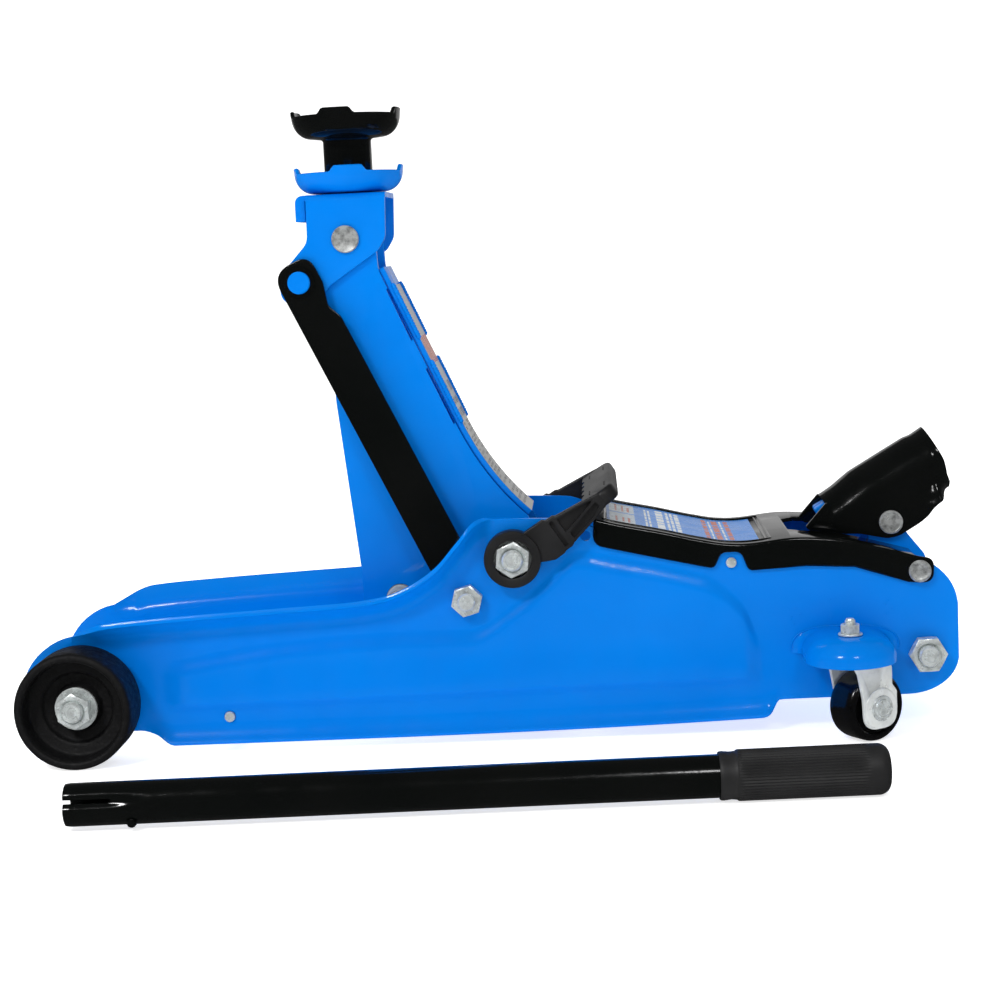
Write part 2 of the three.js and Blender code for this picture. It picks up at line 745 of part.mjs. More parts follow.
// A castellated cup: its rim is cut down between four teeth.
function toothedCup(profile, rimTop, turn) {
  const cup = turnedZ(profile, 24, SADDLE_X, 0);
  const gaps = [0, 1, 2, 3].map((k) => {
    const notch = new THREE.BoxGeometry(60, 27, 10);
    notch.translate(30, 0, rimTop - TOOTH + 5);
    notch.rotateZ(THREE.MathUtils.degToRad(45 + turn + 90 * k));
    return solid(notch.translate(SADDLE_X, 0, 0));
  });
  return cut(cup, ...gaps);
}

const cupTop = 332;
const saddleProfile = [
  [9.4, 299],
  [13, 299],
  [13, HEAD_TOP + 1],
  [22, HEAD_TOP + 1],
  [27, HEAD_TOP + 3],
  [30.5, 324],
  [SADDLE_RADIUS, cupTop],
  [29.5, cupTop],
  [27.5, 325],
  [24, 321.5],
  [9.4, 321.5],
  [9.4, 299],
];
piece("saddle_cup", toothedCup(saddleProfile, cupTop, 7), BLUE);

const extensionTop = 364.5;
const extensionProfile = [
  [0, 304],
  [9, 304],
  [9, 321.9],
  [STEM_RADIUS, 321.9],
  [STEM_RADIUS, 350],
  [20, 350.5],
  [27, 352.5],
  [30.5, 357],
  [SADDLE_RADIUS, extensionTop],
  [29.5, extensionTop],
  [27.5, 358],
  [24, 354.5],
  [0, 354.5],
];
piece("extension_saddle", toothedCup(extensionProfile, extensionTop, -12.5), BLACK);

// ---------------------------------------------------------------- link bars

function linkBar(side) {
  const length = Math.hypot(HEAD_PIVOT[0] - MAIN_PIVOT[0], HEAD_PIVOT[1] - MAIN_PIVOT[1]);
  const reach = LINK_HALF_WIDTH;
  const bar = outline([
    [-reach, -reach, reach],
    [reach, -reach, reach],
    [reach, length - 28, 6],
    [reach - 4, length - 18, 4],
    [reach, length - 4, 4],
    [reach, length + reach, reach],
    [-reach, length + reach, reach],
  ]);
  const geometry = new THREE.ExtrudeGeometry(bar, { depth: SHEET, bevelEnabled: false, curveSegments: 4 });
  geometry.rotateX(Math.PI / 2).translate(0, SHEET / 2, 0);
  // The bar leans: its Y falls from the link bolt to the link pin.
  const lean = ((LINK_TOP_Y - LINK_BOTTOM_Y) / length) * side;
  geometry.applyMatrix4(new THREE.Matrix4().makeShear(0, 0, 0, 0, 0, lean));
  geometry.translate(0, LINK_BOTTOM_Y * side, 0);
  geometry.rotateY(Math.atan2(HEAD_PIVOT[0] - MAIN_PIVOT[0], HEAD_PIVOT[1] - MAIN_PIVOT[1]));
  geometry.translate(LINK_BOLT[0], 0, LINK_BOLT[1]);
  return cut(solid(geometry), axle(LINK_BOLT, 5 + GAP, 60), axle(LINK_PIN, 5.5 + 2 * GAP, 60));
}
for (const [name, side] of SIDES) piece(`link_bar_${name}`, linkBar(side), BLACK);

// ---------------------------------------------------------------- power unit, in its own frame along the ram

// Its frame has the rear bolt at the origin and +X towards the ram pin.
const ramVector = new THREE.Vector2(RAM_PIVOT[0] - REAR_BOLT[0], RAM_PIVOT[1] - REAR_BOLT[1]);
const ramTilt = Math.atan2(ramVector.y, -ramVector.x);

// A profile of [radius, distance] points turned about the ram axis; distances are from the rear bolt.
function turnedOnRam(profile, sides = 24) {
  const geometry = new THREE.LatheGeometry(profile.map(([r, h]) => new THREE.Vector2(r, h)), sides);
  geometry.rotateZ(Math.PI / 2).rotateY(ramTilt);
  return solid(geometry.translate(REAR_BOLT[0], 0, REAR_BOLT[1]));
}

const tubeProfile = [
  [0, TUBE_FROM],
  [TUBE_RADIUS, TUBE_FROM],
  [TUBE_RADIUS, TUBE_TO - 12],
  [TUBE_RADIUS + 2, TUBE_TO - 12],
  [TUBE_RADIUS + 2, TUBE_TO],
  [TUBE_BORE, TUBE_TO],
  [TUBE_BORE, TUBE_FROM + 12],
  [0, TUBE_FROM + 12],
];
piece("reservoir_tube", turnedOnRam(tubeProfile), BLUE);

const ramDistance = ramVector.length();
const rodProfile = [
  [0, ramDistance - RAM_LENGTH],
  [RAM_RADIUS - 1, ramDistance - RAM_LENGTH],
  [RAM_RADIUS, ramDistance - RAM_LENGTH + 1],
  [RAM_RADIUS, ramDistance - 4],
  [0, ramDistance - 4],
];
const ramRod = cut(
  join(turnedOnRam(rodProfile, 16), barY(RAM_PIVOT, 17, -15, 15, 20)),
  axle(RAM_PIVOT, 10.5 + GAP, 30),
);
piece("ram_rod", ramRod, CHROME);

function pumpBlock() {
  const body = slab(
    outline([
      [156, 34, 4],
      [166, 26, 4],
      [246, 24, 10],
      [247, 66, 8],
      [240, 80, 4],
      [168, 82, 4],
      [156, 74, 4],
    ]),
    -28,
    28,
  );
  const seat = TUBE_RADIUS + GAP;
  const ear = outline([
    [203, 78],
    [240, 78],
    [237, 94, 8],
    [226, 108, 6],
    [226, 124.5, 8],
    [206, 124.5, 10],
  ]);
  return cut(
    join(
      body,
      slab(ear, -19, -13.5),
      slab(ear, 13.5, 19),
      axle(REAR_BOLT, 10, PLATE_INNER - GAP),
      barZ(PLUNGER_X, 0, 10, 78, 90),
    ),
    turnedOnRam([[0, TUBE_FROM - GAP], [seat, TUBE_FROM - GAP], [seat, TUBE_TO], [0, TUBE_TO]]),
    axle(REAR_BOLT, 6 + GAP, 60),
    axle(SOCKET_PIVOT, 5 + GAP, 60),
    barZ(PLUNGER_X, 0, 6 + GAP, 62, 120),
  );
}
piece("pump_block", pumpBlock(), BLUE);
piece("pump_plunger", barZ(PLUNGER_X, 0, 6, 64, 100), CHROME);

// Return springs, from the pump block to the ends of the ram pin.
const SPRING_REAR = [170, 52];
for (const [name, side] of SIDES) {
  const vector = new THREE.Vector2(RAM_PIVOT[0] - SPRING_REAR[0], RAM_PIVOT[1] - SPRING_REAR[1]);
  const geometry = new THREE.CylinderGeometry(4.5, 4.5, vector.length() - 16, 12);
  geometry.rotateZ(Math.PI / 2).rotateY(Math.atan2(vector.y, -vector.x));
  geometry.translate((RAM_PIVOT[0] + SPRING_REAR[0]) / 2, side * 35, (RAM_PIVOT[1] + SPRING_REAR[1]) / 2);
  piece(`return_spring_${name}`, solid(geometry), ZINC);
}

// ---------------------------------------------------------------- handle socket

const SOCKET_MOUTH = [244, 147.5];
const SOCKET_RISE = THREE.MathUtils.degToRad(30);
const SOCKET_HALF = 22.6;
const SOCKET_RADIUS = 19.2;
const SOCKET_DROP = 0.9;
const MOUTH_REACH = 5;

// Places a geometry drawn with +X along the socket's axis and its origin at the mouth.
function onSocket(geometry) {
  geometry.rotateY(-SOCKET_RISE);
  return solid(geometry.translate(SOCKET_MOUTH[0], 0, SOCKET_MOUTH[1]));
}

// A profile of [radius, distance] points turned about the socket's axis; distances are from its mouth.
function turnedOnSocket(profile, sides = 20) {
  const geometry = new THREE.LatheGeometry(profile.map(([r, h]) => new THREE.Vector2(r, h)), sides);
  return onSocket(geometry.rotateZ(-Math.PI / 2));
}

// A pressed channel: a wide tube towards the mouth, whose sides run down into two cheeks on the pin.
function handleSocket() {
  const profile = [
    [0, -66],
    [17, -66],
    [17, -58],
    [SOCKET_RADIUS - 1, -50],
    [SOCKET_RADIUS, -43],
    [SOCKET_RADIUS, MOUTH_REACH],
    [0, MOUTH_REACH],
  ];
  const shell = new THREE.LatheGeometry(profile.map(([r, h]) => new THREE.Vector2(r, h)), 24);
  // The tube is wider than it is high, as wide as the cheeks stand apart.
  shell.rotateZ(-Math.PI / 2).scale(1, SOCKET_HALF / SOCKET_RADIUS, 1).translate(0, 0, -SOCKET_DROP);
  // The mouth leans: its upper half reaches furthest.
  const lean = new THREE.Shape();
  lean.setFromPoints([
    new THREE.Vector2(0, -30),
    new THREE.Vector2(0, -19),
    new THREE.Vector2(MOUTH_REACH - 0.5, -4),
    new THREE.Vector2(MOUTH_REACH, 1),
    new THREE.Vector2(MOUTH_REACH + 0.5, 30),
    new THREE.Vector2(20, 30),
    new THREE.Vector2(20, -30),
  ]);
  const beyond = new THREE.ExtrudeGeometry(lean, { depth: 60, bevelEnabled: false });
  beyond.translate(0, 0, -30).rotateX(Math.PI / 2);
  const cheek = outline([
    [168.5, 113, 1],
    [172, 109.5, 2],
    [190, 108, 6],
    [208, 106.5, 5],
    [217, 104, 5],
    [225.4, 107, 5],
    [230.5, 112.5, 5],
    [238, 120.5, 4],
    [243.5, 124.5, 4],
    [253.4, 128.5, 2],
    [253.6, 131],
    SOCKET_MOUTH,
    [192, 117.5],
    [180, 127, 2],
  ]);
  const bore = turnedOnSocket([
    [0, -95],
    [16, -95],
    [17, -62],
    [17, -26],
    [12.2, -22],
    [12.2, -10],
    [17, -5],
    [17, MOUTH_REACH + 1],
    [0, MOUTH_REACH + 1],
  ]);
  const inside = outline([[160, 90], [226, 90], [236, 121.5], [216, 138], [196, 132], [160, 111]]);
  return cut(
    join(onSocket(shell), slab(cheek, -SOCKET_HALF, SOCKET_HALF)),
    bore,
    onSocket(beyond),
    slab(inside, -19.8, 19.8),
    axle(SOCKET_PIVOT, 5 + GAP, 60),
  );
}
piece("handle_socket", handleSocket(), BLACK);
piece("socket_pin", headedPin(SOCKET_PIVOT, 5, 6.8, 25.4, 2.4), ZINC);

// The key that the handle's notched end turns to open the release valve.
const releaseKey = join(
  turnedOnSocket([[0, -66], [5, -66], [5, -44], [0, -44]], 16),
  onSocket(new THREE.BoxGeometry(10, 16, 18).translate(-68, 0, 3)),
);
piece("release_key", releaseKey, BLUE);

// ---------------------------------------------------------------- carrying handle

const CARRY_RISE = 32.5; // degrees
const CARRY_REACH = 70;
const GRIP_BACK = 49;
const GRIP_ROUND = 16;

// It is drawn flat, with +X from the main pivot to the grip and +Z across it, then turned up by CARRY_RISE.
function carryHandle() {
  const raised = (made) => made.rotate([0, -CARRY_RISE, 0]).translate([MAIN_PIVOT[0], 0, MAIN_PIVOT[1]]);
  const arm = (side) => {
    const web = slab(
      outline([
        [9, 9, 1],
        [27, 8.5, 1],
        [33, 8, 1],
        [34, 7, 1],
        [52, 4.8],
        [CARRY_REACH - 12, 4],
        [CARRY_REACH - 12, -5.5],
        [52, -8],
        [34, -12.5, 2],
        [27, -13, 1],
        [9, -9, 1],
      ]),
      Math.min(side * 57, side * 63),
      Math.max(side * 57, side * 63),
    );
    const boss = barY([0, 0], 16.2, side * 53.8, side * 64.2, 20);
    return cut(join(web, boss), barY([0, 0], 11.2 + GAP, side * 50, side * 70, 20));
  };
  const plate = new THREE.Shape();
  plate.moveTo(GRIP_BACK, -63);
  plate.lineTo(CARRY_REACH - GRIP_ROUND, -63);
  plate.absarc(CARRY_REACH - GRIP_ROUND, -63 + GRIP_ROUND, GRIP_ROUND, -Math.PI / 2, 0);
  plate.absarc(CARRY_REACH - GRIP_ROUND, 63 - GRIP_ROUND, GRIP_ROUND, 0, Math.PI / 2);
  plate.lineTo(GRIP_BACK, 63);
  const grip = new THREE.ExtrudeGeometry(plate, { depth: 9, bevelEnabled: false, curveSegments: 6 });
  const scallops = [-31.5, -10.5, 10.5, 31.5].map((y) => barZ(GRIP_BACK - 6, y, 9, -20, 20));
  return raised(cut(join(arm(-1), arm(1), solid(grip.translate(0, 0, -5.2))), ...scallops));
}
piece("carry_handle", carryHandle(), PLASTIC);

// ---------------------------------------------------------------- handle lying on the floor

const handle = new THREE.Group();
handle.position.set(HANDLE_MIDDLE[0], HANDLE_MIDDLE[1], 0);
handle.rotation.z = THREE.MathUtils.degToRad(HANDLE_YAW);
jack.add(handle);

const HANDLE_FRONT = -211;
const GRIP_FROM = 129.5;
const COLLAR_LENGTH = 9;
const HANDLE_BACK = 209;
const GRIP_AXIS = GRIP_RADIUS;

// A profile of [radius, x] points turned about the handle's own axis.
function turnedOnHandle(profile, sides = 22) {
  const geometry = new THREE.LatheGeometry(profile.map(([r, h]) => new THREE.Vector2(r, h)), sides);
  return solid(geometry.rotateZ(-Math.PI / 2).translate(0, 0, GRIP_AXIS));
}

const tubeSteel = cut(
  turnedOnHandle([
    [8.8, HANDLE_FRONT],
    [HANDLE_RADIUS, HANDLE_FRONT],
    [HANDLE_RADIUS, GRIP_FROM + 30],
    [8.8, GRIP_FROM + 30],
    [8.8, HANDLE_FRONT],
  ]),
  box(HANDLE_FRONT - 1, HANDLE_FRONT + 24, -30, 30, GRIP_AXIS + 2.2, GRIP_AXIS + 4.6),
);
const BUTTON_X = HANDLE_FRONT + 34;
const buttonHole = solid(
  new THREE.CylinderGeometry(2.4, 2.4, 14, 16).rotateX(Math.PI / 4).translate(BUTTON_X, -7, GRIP_AXIS - 7),
);
piece("handle_tube", cut(tubeSteel, buttonHole), BLACK, handle);

const button = solid(
  new THREE.CylinderGeometry(2, 2, 9, 16).rotateX(Math.PI / 4).translate(BUTTON_X, -6, GRIP_AXIS - 6),
);
piece("handle_button", button, ZINC, handle);

const grip = turnedOnHandle([
  [HANDLE_RADIUS + GAP, GRIP_FROM - COLLAR_LENGTH],
  [12.4, GRIP_FROM - COLLAR_LENGTH],
  [12.4, GRIP_FROM],
  [GRIP_RADIUS, GRIP_FROM + 1],
  [GRIP_RADIUS, HANDLE_BACK - 4],
  [GRIP_RADIUS - 3, HANDLE_BACK],
  [0, HANDLE_BACK],
  [0, GRIP_FROM + 32],
  [HANDLE_RADIUS + GAP, GRIP_FROM + 32],
  [HANDLE_RADIUS + GAP, GRIP_FROM - COLLAR_LENGTH],
]);
piece("handle_grip", grip, PLASTIC, handle);

// ---------------------------------------------------------------- origin

// The exported frame has its origin on the floor, below the middle of the whole object's box.
const extent = new THREE.Box3().setFromObject(jack, true);
jack.position.set(-(extent.min.x + extent.max.x) / 2, -(extent.min.y + extent.max.y) / 2, 0);
const part = new THREE.Group();
part.add(jack);

export default part;
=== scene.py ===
"""The looks of a hydraulic floor jack with its lift arm raised and its handle on the floor beside it.

Shapes are drawn in the part's design frame, in millimetres: X = 0 on the main pivot, Y = 0 midway between the
side plates, Z = 0 on the floor, front to -X, left to -Y. TO_ROW carries them to the row frame, in metres.
"""
import json
import math
import random

import bmesh
import bpy
from mathutils import Matrix, Vector, noise


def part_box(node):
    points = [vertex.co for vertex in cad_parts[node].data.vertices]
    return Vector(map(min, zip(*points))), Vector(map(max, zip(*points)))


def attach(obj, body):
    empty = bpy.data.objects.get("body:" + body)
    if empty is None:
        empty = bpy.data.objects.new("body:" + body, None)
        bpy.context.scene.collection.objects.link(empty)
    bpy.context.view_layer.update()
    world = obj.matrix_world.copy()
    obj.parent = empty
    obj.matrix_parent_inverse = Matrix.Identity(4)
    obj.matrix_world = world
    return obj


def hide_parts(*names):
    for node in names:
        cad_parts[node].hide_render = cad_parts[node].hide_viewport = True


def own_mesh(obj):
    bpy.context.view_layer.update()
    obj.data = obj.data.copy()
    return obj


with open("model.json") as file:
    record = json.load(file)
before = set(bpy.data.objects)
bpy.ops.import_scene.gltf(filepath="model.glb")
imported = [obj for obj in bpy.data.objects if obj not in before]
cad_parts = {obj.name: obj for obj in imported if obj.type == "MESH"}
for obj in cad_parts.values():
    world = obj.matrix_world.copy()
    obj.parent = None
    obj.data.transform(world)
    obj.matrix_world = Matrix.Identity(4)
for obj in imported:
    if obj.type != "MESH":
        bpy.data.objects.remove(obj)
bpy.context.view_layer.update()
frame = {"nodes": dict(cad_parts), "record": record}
NODES = frame["nodes"]
SCENE = bpy.context.scene

# ---------------------------------------------------------------- driving dimensions, as in the CAD part

MM = 0.001
GAP = 0.4
MAIN_PIVOT = (0, 107)
HEAD_PIVOT = (-88.4, 290.1)
LINK_BOLT = (-27.2, 83.5)
LINK_PIN = (-115.6, 266.6)
RAM_PIVOT = (-68, 81)
REAR_BOLT = (231.5, 43)
SOCKET_PIVOT = (217.2, 114.1)
FRONT_AXLE = (-250.5, 33.5)
FRONT_ROD = (-167.4, 20.5)
COVER_ROD = (123, 99)
COVER_PIN = (228, 90.5)
SPARE_HOLE = (41.5, 117.5)
PLATE_INNER = 50
SHEET = 3
PLATE_OUTER = PLATE_INNER + SHEET
BAR_RADIUS = 6
BAR_BORE = 6.4
NUT_BORE = 6.2
NUT_ACROSS = 18
SADDLE_X = -87.5
SADDLE_RADIUS = 32
HEAD_TOP = 316
CASTER_X = 185.5
CASTER_Y = 80
CASTER_TRAIL = 10
CASTER_RADIUS = 19.5
CASTER_WIDTH = 20
CASTER_TURN = {"left": 33, "right": 12}
SHELF_TOP = 60
SHELF_RADIUS = 25
SHELF_BOTTOM = 45.5
SHELF_LIP = 48.5
HANDLE_MIDDLE = (-16, -196)
HANDLE_YAW = 2.3
GRIP_RADIUS = 13
SIDES = (("left", -1), ("right", 1))

# The design frame's origin in the row frame, from the main pivot shaft, which lies on it.
_low, _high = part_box("main_pivot_shaft")
_middle = (_low + _high) / 2
TO_ROW = Matrix.Translation((_middle.x, _middle.y, 0)) @ Matrix.Scale(MM, 4)

# ---------------------------------------------------------------- small maths


def ramp(x, a, b):
    """0 below a, 1 above b, smooth between."""
    t = min(max((x - a) / (b - a), 0.0), 1.0)
    return t * t * (3 - 2 * t)


def smooth(knots, x):
    """The height of a smooth line through (x, z) knots, without overshoot (monotone cubic)."""
    last = len(knots) - 1
    if x <= knots[0][0]:
        return knots[0][1]
    if x >= knots[last][0]:
        return knots[last][1]
    slope = [(b[1] - a[1]) / (b[0] - a[0]) for a, b in zip(knots, knots[1:])]
    tangent = [slope[0]]
    for a, b in zip(slope, slope[1:]):
        tangent.append(0 if a * b <= 0 else 2 * a * b / (a + b))
    tangent.append(slope[-1])
    i = next(k for k in range(last) if knots[k + 1][0] > x)
    width = knots[i + 1][0] - knots[i][0]
    t = (x - knots[i][0]) / width
    return (
        (2 * t**3 - 3 * t**2 + 1) * knots[i][1]
        + (t**3 - 2 * t**2 + t) * width * tangent[i]
        + (3 * t**2 - 2 * t**3) * knots[i + 1][1]
        + (t**3 - t**2) * width * tangent[i + 1]
    )


def spread(a, b, count):
    """count points from a to b, both included."""
    return [a + (b - a) * k / (count - 1) for k in range(count)]


def circle(count):
    """The angles of so many equal steps round a circle."""
    return [2 * math.pi * k / count for k in range(count)]


def polar(radius, angle, distance):
    """A point at an angle about the Z axis, at a distance along it."""
    return Vector((radius * math.cos(angle), radius * math.sin(angle), distance))


def rounded(corners, arc=6):
    """A closed outline of (x, z, corner radius) points, its corners drawn as arcs of that many steps."""
    points = []
    count = len(corners)
    for i, corner in enumerate(corners):
        here = Vector(corner[:2])
        radius = corner[2] if len(corner) > 2 else 0
        before = Vector(corners[i - 1][:2])
        after = Vector(corners[(i + 1) % count][:2])
        inward, outward = (before - here).normalized(), (after - here).normalized()
        half = math.acos(min(max(inward.dot(outward), -1), 1)) / 2
        reach = min(radius / math.tan(half), (here - before).length / 2.01, (here - after).length / 2.01)
        if reach < 1e-3:
            points.append(tuple(here))
            continue
        enter, leave = here + inward * reach, here + outward * reach
        for t in [k / arc for k in range(arc + 1)]:
            points.append(tuple(enter * (1 - t) ** 2 + here * 2 * t * (1 - t) + leave * t * t))
    return points


def round_corner(x, z, reach_x, reach_z, a0, a1, steps):
    """Points of an elliptical corner about (x, z), from one angle in degrees to another."""
    turns = [math.radians(a) for a in spread(a0, a1, steps)]
    return [(x + reach_x * math.cos(a), z + reach_z * math.sin(a)) for a in turns]


def offset_line(points, distance):
    """A line of (x, z) points moved to its left by distance."""
    moved = []
    for i, p in enumerate(points):
        a, b = Vector(points[max(i - 1, 0)]), Vector(points[min(i + 1, len(points) - 1)])
        along = (b - a).normalized()
        moved.append((p[0] - along.y * distance, p[1] + along.x * distance))
    return moved


# ---------------------------------------------------------------- shapes


class Shape:
    """Vertices and faces in the design frame, in millimetres."""

    def __init__(self, verts=(), faces=()):
        self.verts = [Vector(v) for v in verts]
        self.faces = [tuple(f) for f in faces]

    def moved(self, matrix):
        return Shape([matrix @ v for v in self.verts], self.faces)

    def lidded(self, width):
        """Closes the first and the last row, of so many points, with one face each."""
        last = len(self.verts) - width
        self.faces += [tuple(range(width)), tuple(last + k for k in reversed(range(width)))]
        return self

    def laced(self, width):
        """Closes the first and the last row of a folded sheet with a strip of faces from skin to skin."""
        for base in (0, len(self.verts) - width):
            for j in range(width // 2 - 1):
                self.faces.append((base + j, base + j + 1, base + width - 2 - j, base + width - 1 - j))
        return self


def join(*shapes):
    whole = Shape()
    for shape in shapes:
        base = len(whole.verts)
        whole.verts += shape.verts
        whole.faces += [tuple(base + i for i in f) for f in shape.faces]
    return whole


def grid(rows, closed_u=False, closed_v=False):
    """Faces over rows of points; closed_u joins the last row to the first, closed_v each row's ends."""
    n, m = len(rows), len(rows[0])
    faces = []
    for i in range(n if closed_u else n - 1):
        for j in range(m if closed_v else m - 1):
            here, there = i * m, ((i + 1) % n) * m
            faces.append((here + j, here + (j + 1) % m, there + (j + 1) % m, there + j))
    return Shape([p for r in rows for p in r], faces)


def along_y(at, side=1):
    """A frame for turned shapes: radii in X and Z about the point (x, z), distances along Y towards a side."""
    x, z = at
    return Matrix.Translation((x, 0, z)) @ Matrix(((1, 0, 0, 0), (0, 0, side, 0), (0, 1, 0, 0), (0, 0, 0, 1)))


def along_z(x, y, z=0):
    """The same for an upright axis."""
    return Matrix.Translation((x, y, z))


def along(start, direction):
    """The same for an axis that leaves the start in a direction; the frame's X stays close to the jack's Y."""
    z = Vector(direction).normalized()
    x = Vector((0, 1, 0)) if abs(z.y) < 0.9 else Vector((1, 0, 0))
    y = z.cross(x).normalized()
    return Matrix.Translation(start) @ Matrix((y.cross(z), y, z)).transposed().to_4x4()


def lathe(profile, at, sides=64, closed=False):
    """A profile of (radius, distance) points turned about the frame's Z axis; closed joins its ends."""
    rows = [[at @ polar(r, a, h) for r, h in profile] for a in circle(sides)]
    return grid(rows, closed_u=True, closed_v=closed)


def both_ends(profile, at, sides, closed=False):
    """A profile turned about a cross axis at (x, z), drawn towards each side of the jack."""
    return join(*[lathe(profile, along_y(at, side), sides, closed) for _, side in SIDES])


def plug(at, radius, d0, d1, sides=48):
    """A plain round bar in a frame: a shank, or the cutter of a bore."""
    return lathe([(0, d0), (radius, d0), (radius, d1), (0, d1)], at, sides)


def hex_nut(at, across, bore, d0, d1, turn=0.0, both=False):
    """A hexagonal nut, its corners and its bore chamfered at the outer end; bore 0 makes a bolt head."""
    rows = []
    inner = across / 2
    land = inner * 0.93
    wedge = math.pi / 3
    for a in circle(48):
        reach = inner * (1 / math.cos((a % wedge) - wedge / 2))
        fall = (reach - land) * math.tan(math.radians(28))
        profile = [(reach, d0 + (fall if both else 0)), (reach, d1 - fall), (land, d1)]
        if both:
            profile.insert(0, (land, d0))
        profile += [(bore + 1, d1), (bore, d1 - 1), (bore, d0)] if bore else [(0, d1), (0, d0)]
        rows.append([at @ polar(r, a + turn, h) for r, h in profile])
    return grid(rows, closed_u=True, closed_v=True)


def thread(at, radius, d0, d1, pitch, sides, depth=0.55):
    """A threaded stud end with a flat chamfered tip."""
    rows = []
    steps = max(2, int((d1 - d0) / pitch * 5))
    for k, a in enumerate(circle(sides)):
        line = [(0, d0)]
        for d in [d0 + (d1 - d0) * s / steps for s in range(steps + 1)]:
            wave = abs(((d / pitch - k / sides) % 1) - 0.5) * 2
            tip = ramp(d, d1 - 1.2, d1)
            line.append((radius - depth * wave * (1 - tip) - 0.9 * tip, d))
        rows.append([at @ polar(r, a, h) for r, h in line + [(0, d1)]])
    return grid(rows, closed_u=True)


def slab(points, y0, y1, round_by=0.0, steps=3):
    """An outline in the XZ plane, thick along Y, its two rims rounded."""
    ring = [Vector(p) for p in points]
    if sum(a.x * b.y - b.x * a.y for a, b in zip(ring, ring[1:] + ring[:1])) < 0:
        ring.reverse()
    normals = []
    for i, p in enumerate(ring):
        a, b = (p - ring[i - 1]).normalized(), (ring[(i + 1) % len(ring)] - p).normalized()
        t = (a + b).normalized() if (a + b).length > 1e-6 else a
        normals.append(Vector((t.y, -t.x)))
    layers = [(y0, 0), (y1, 0)]
    if round_by:
        angles = [math.pi / 2 * k / steps for k in range(steps, -1, -1)]
        layers = [(y0 + round_by * (1 - math.sin(a)), round_by * (1 - math.cos(a))) for a in angles]
        layers += [(y0 + y1 - y, inset) for y, inset in reversed(layers)]
    rows = []
    for y, inset in layers:
        rows.append([Vector((p.x - n.x * inset, y, p.y - n.y * inset)) for p, n in zip(ring, normals)])
    return grid(rows, closed_v=True).lidded(len(ring))


def flat_slab(points, z0, z1, round_by=0.0):
    """An outline in the XY plane, thick along Z."""
    swap = Matrix(((1, 0, 0, 0), (0, 0, 1, 0), (0, 1, 0, 0), (0, 0, 0, 1)))
    return slab(points, z0, z1, round_by).moved(swap)


def cross_slab(points, x0, x1, round_by=0.0):
    """An outline in the YZ plane, thick along X."""
    swap = Matrix(((0, 1, 0, 0), (1, 0, 0, 0), (0, 0, 1, 0), (0, 0, 0, 1)))
    return slab(points, x0, x1, round_by).moved(swap)


def box_shape(x0, x1, y0, y1, z0, z1):
    return slab([(x0, z0), (x1, z0), (x1, z1), (x0, z1)], y0, y1)


def tube_along(points, radius, sides=12):
    """A tube along a line of points; radius may be a function of the share along it."""
    rows = []
    normal = None
    last = len(points) - 1
    for i, p in enumerate(points):
        along_line = (Vector(points[min(i + 1, last)]) - Vector(points[max(i - 1, 0)])).normalized()
        if normal is None:
            normal = along_line.orthogonal().normalized()
        normal = (normal - along_line * normal.dot(along_line)).normalized()
        other = along_line.cross(normal)
        r = radius(i / last) if callable(radius) else radius
        rows.append([Vector(p) + normal * r * math.cos(a) + other * r * math.sin(a) for a in circle(sides)])
    return grid(rows, closed_v=True).lidded(sides)


def weld_bead(points, radius, seed):
    """A lumpy weld bead along a line of points."""
    ripple = 1.7
    draw = random.Random(seed)
    line = [Vector(p) for p in points]
    lengths = [0.0]
    for a, b in zip(line, line[1:]):
        lengths.append(lengths[-1] + (b - a).length)
    steps = max(6, int(lengths[-1] / 0.45))
    path, radii = [], []
    for k in range(steps + 1):
        d = lengths[-1] * k / steps
        i = max(j for j in range(len(line)) if lengths[j] <= d + 1e-9)
        i = min(i, len(line) - 2)
        t = (d - lengths[i]) / max(lengths[i + 1] - lengths[i], 1e-6)
        path.append(line[i].lerp(line[i + 1], t))
        scale = 1 + 0.12 * math.sin(2 * math.pi * d / ripple) + draw.uniform(-0.07, 0.07)
        ends = min(ramp(k, -1, 3), ramp(steps - k, -1, 3))
        radii.append(radius * scale * (0.35 + 0.65 * ends))
    return tube_along(path, lambda share: radii[round(share * steps)], 10)


# ---------------------------------------------------------------- pieces


def edit(mesh, change):
    """Makes a change to a mesh through bmesh."""
    bm = bmesh.new()
    bm.from_mesh(mesh)
    change(bm)
    bm.to_mesh(mesh)
    bm.free()


def face_out(bm):
    bmesh.ops.recalc_face_normals(bm, faces=bm.faces)


def weld(bm):
    bmesh.ops.remove_doubles(bm, verts=bm.verts, dist=2e-6)
    bmesh.ops.dissolve_degenerate(bm, dist=1e-6, edges=bm.edges)
    face_out(bm)


def sharpen(mesh, angle):
    """Smooth faces, with edges sharper than the angle kept as edges."""

    def change(bm):
        for f in bm.faces:
            f.smooth = True
        for e in bm.edges:
            e.smooth = not (len(e.link_faces) == 2 and e.calc_face_angle(0) > math.radians(angle))

    edit(mesh, change)


def settle(obj):
    """Applies the object's modifiers to its mesh."""
    depsgraph = bpy.context.evaluated_depsgraph_get()
    final = bpy.data.meshes.new_from_object(obj.evaluated_get(depsgraph))
    obj.modifiers.clear()
    obj.data = final


def placed(name, shape):
    """A new object from a shape of the design frame."""
    mesh = bpy.data.meshes.new(name)
    mesh.from_pydata([TO_ROW @ v for v in shape.verts], [], shape.faces)
    obj = bpy.data.objects.new(name, mesh)
    SCENE.collection.objects.link(obj)
    return obj


def solid(name, shape, material, matrix):
    """An object from a shape: welded, and facing out."""
    obj = placed(name, shape.moved(matrix) if matrix else shape)
    edit(obj.data, weld)
    obj.data.materials.append(material)
    return obj


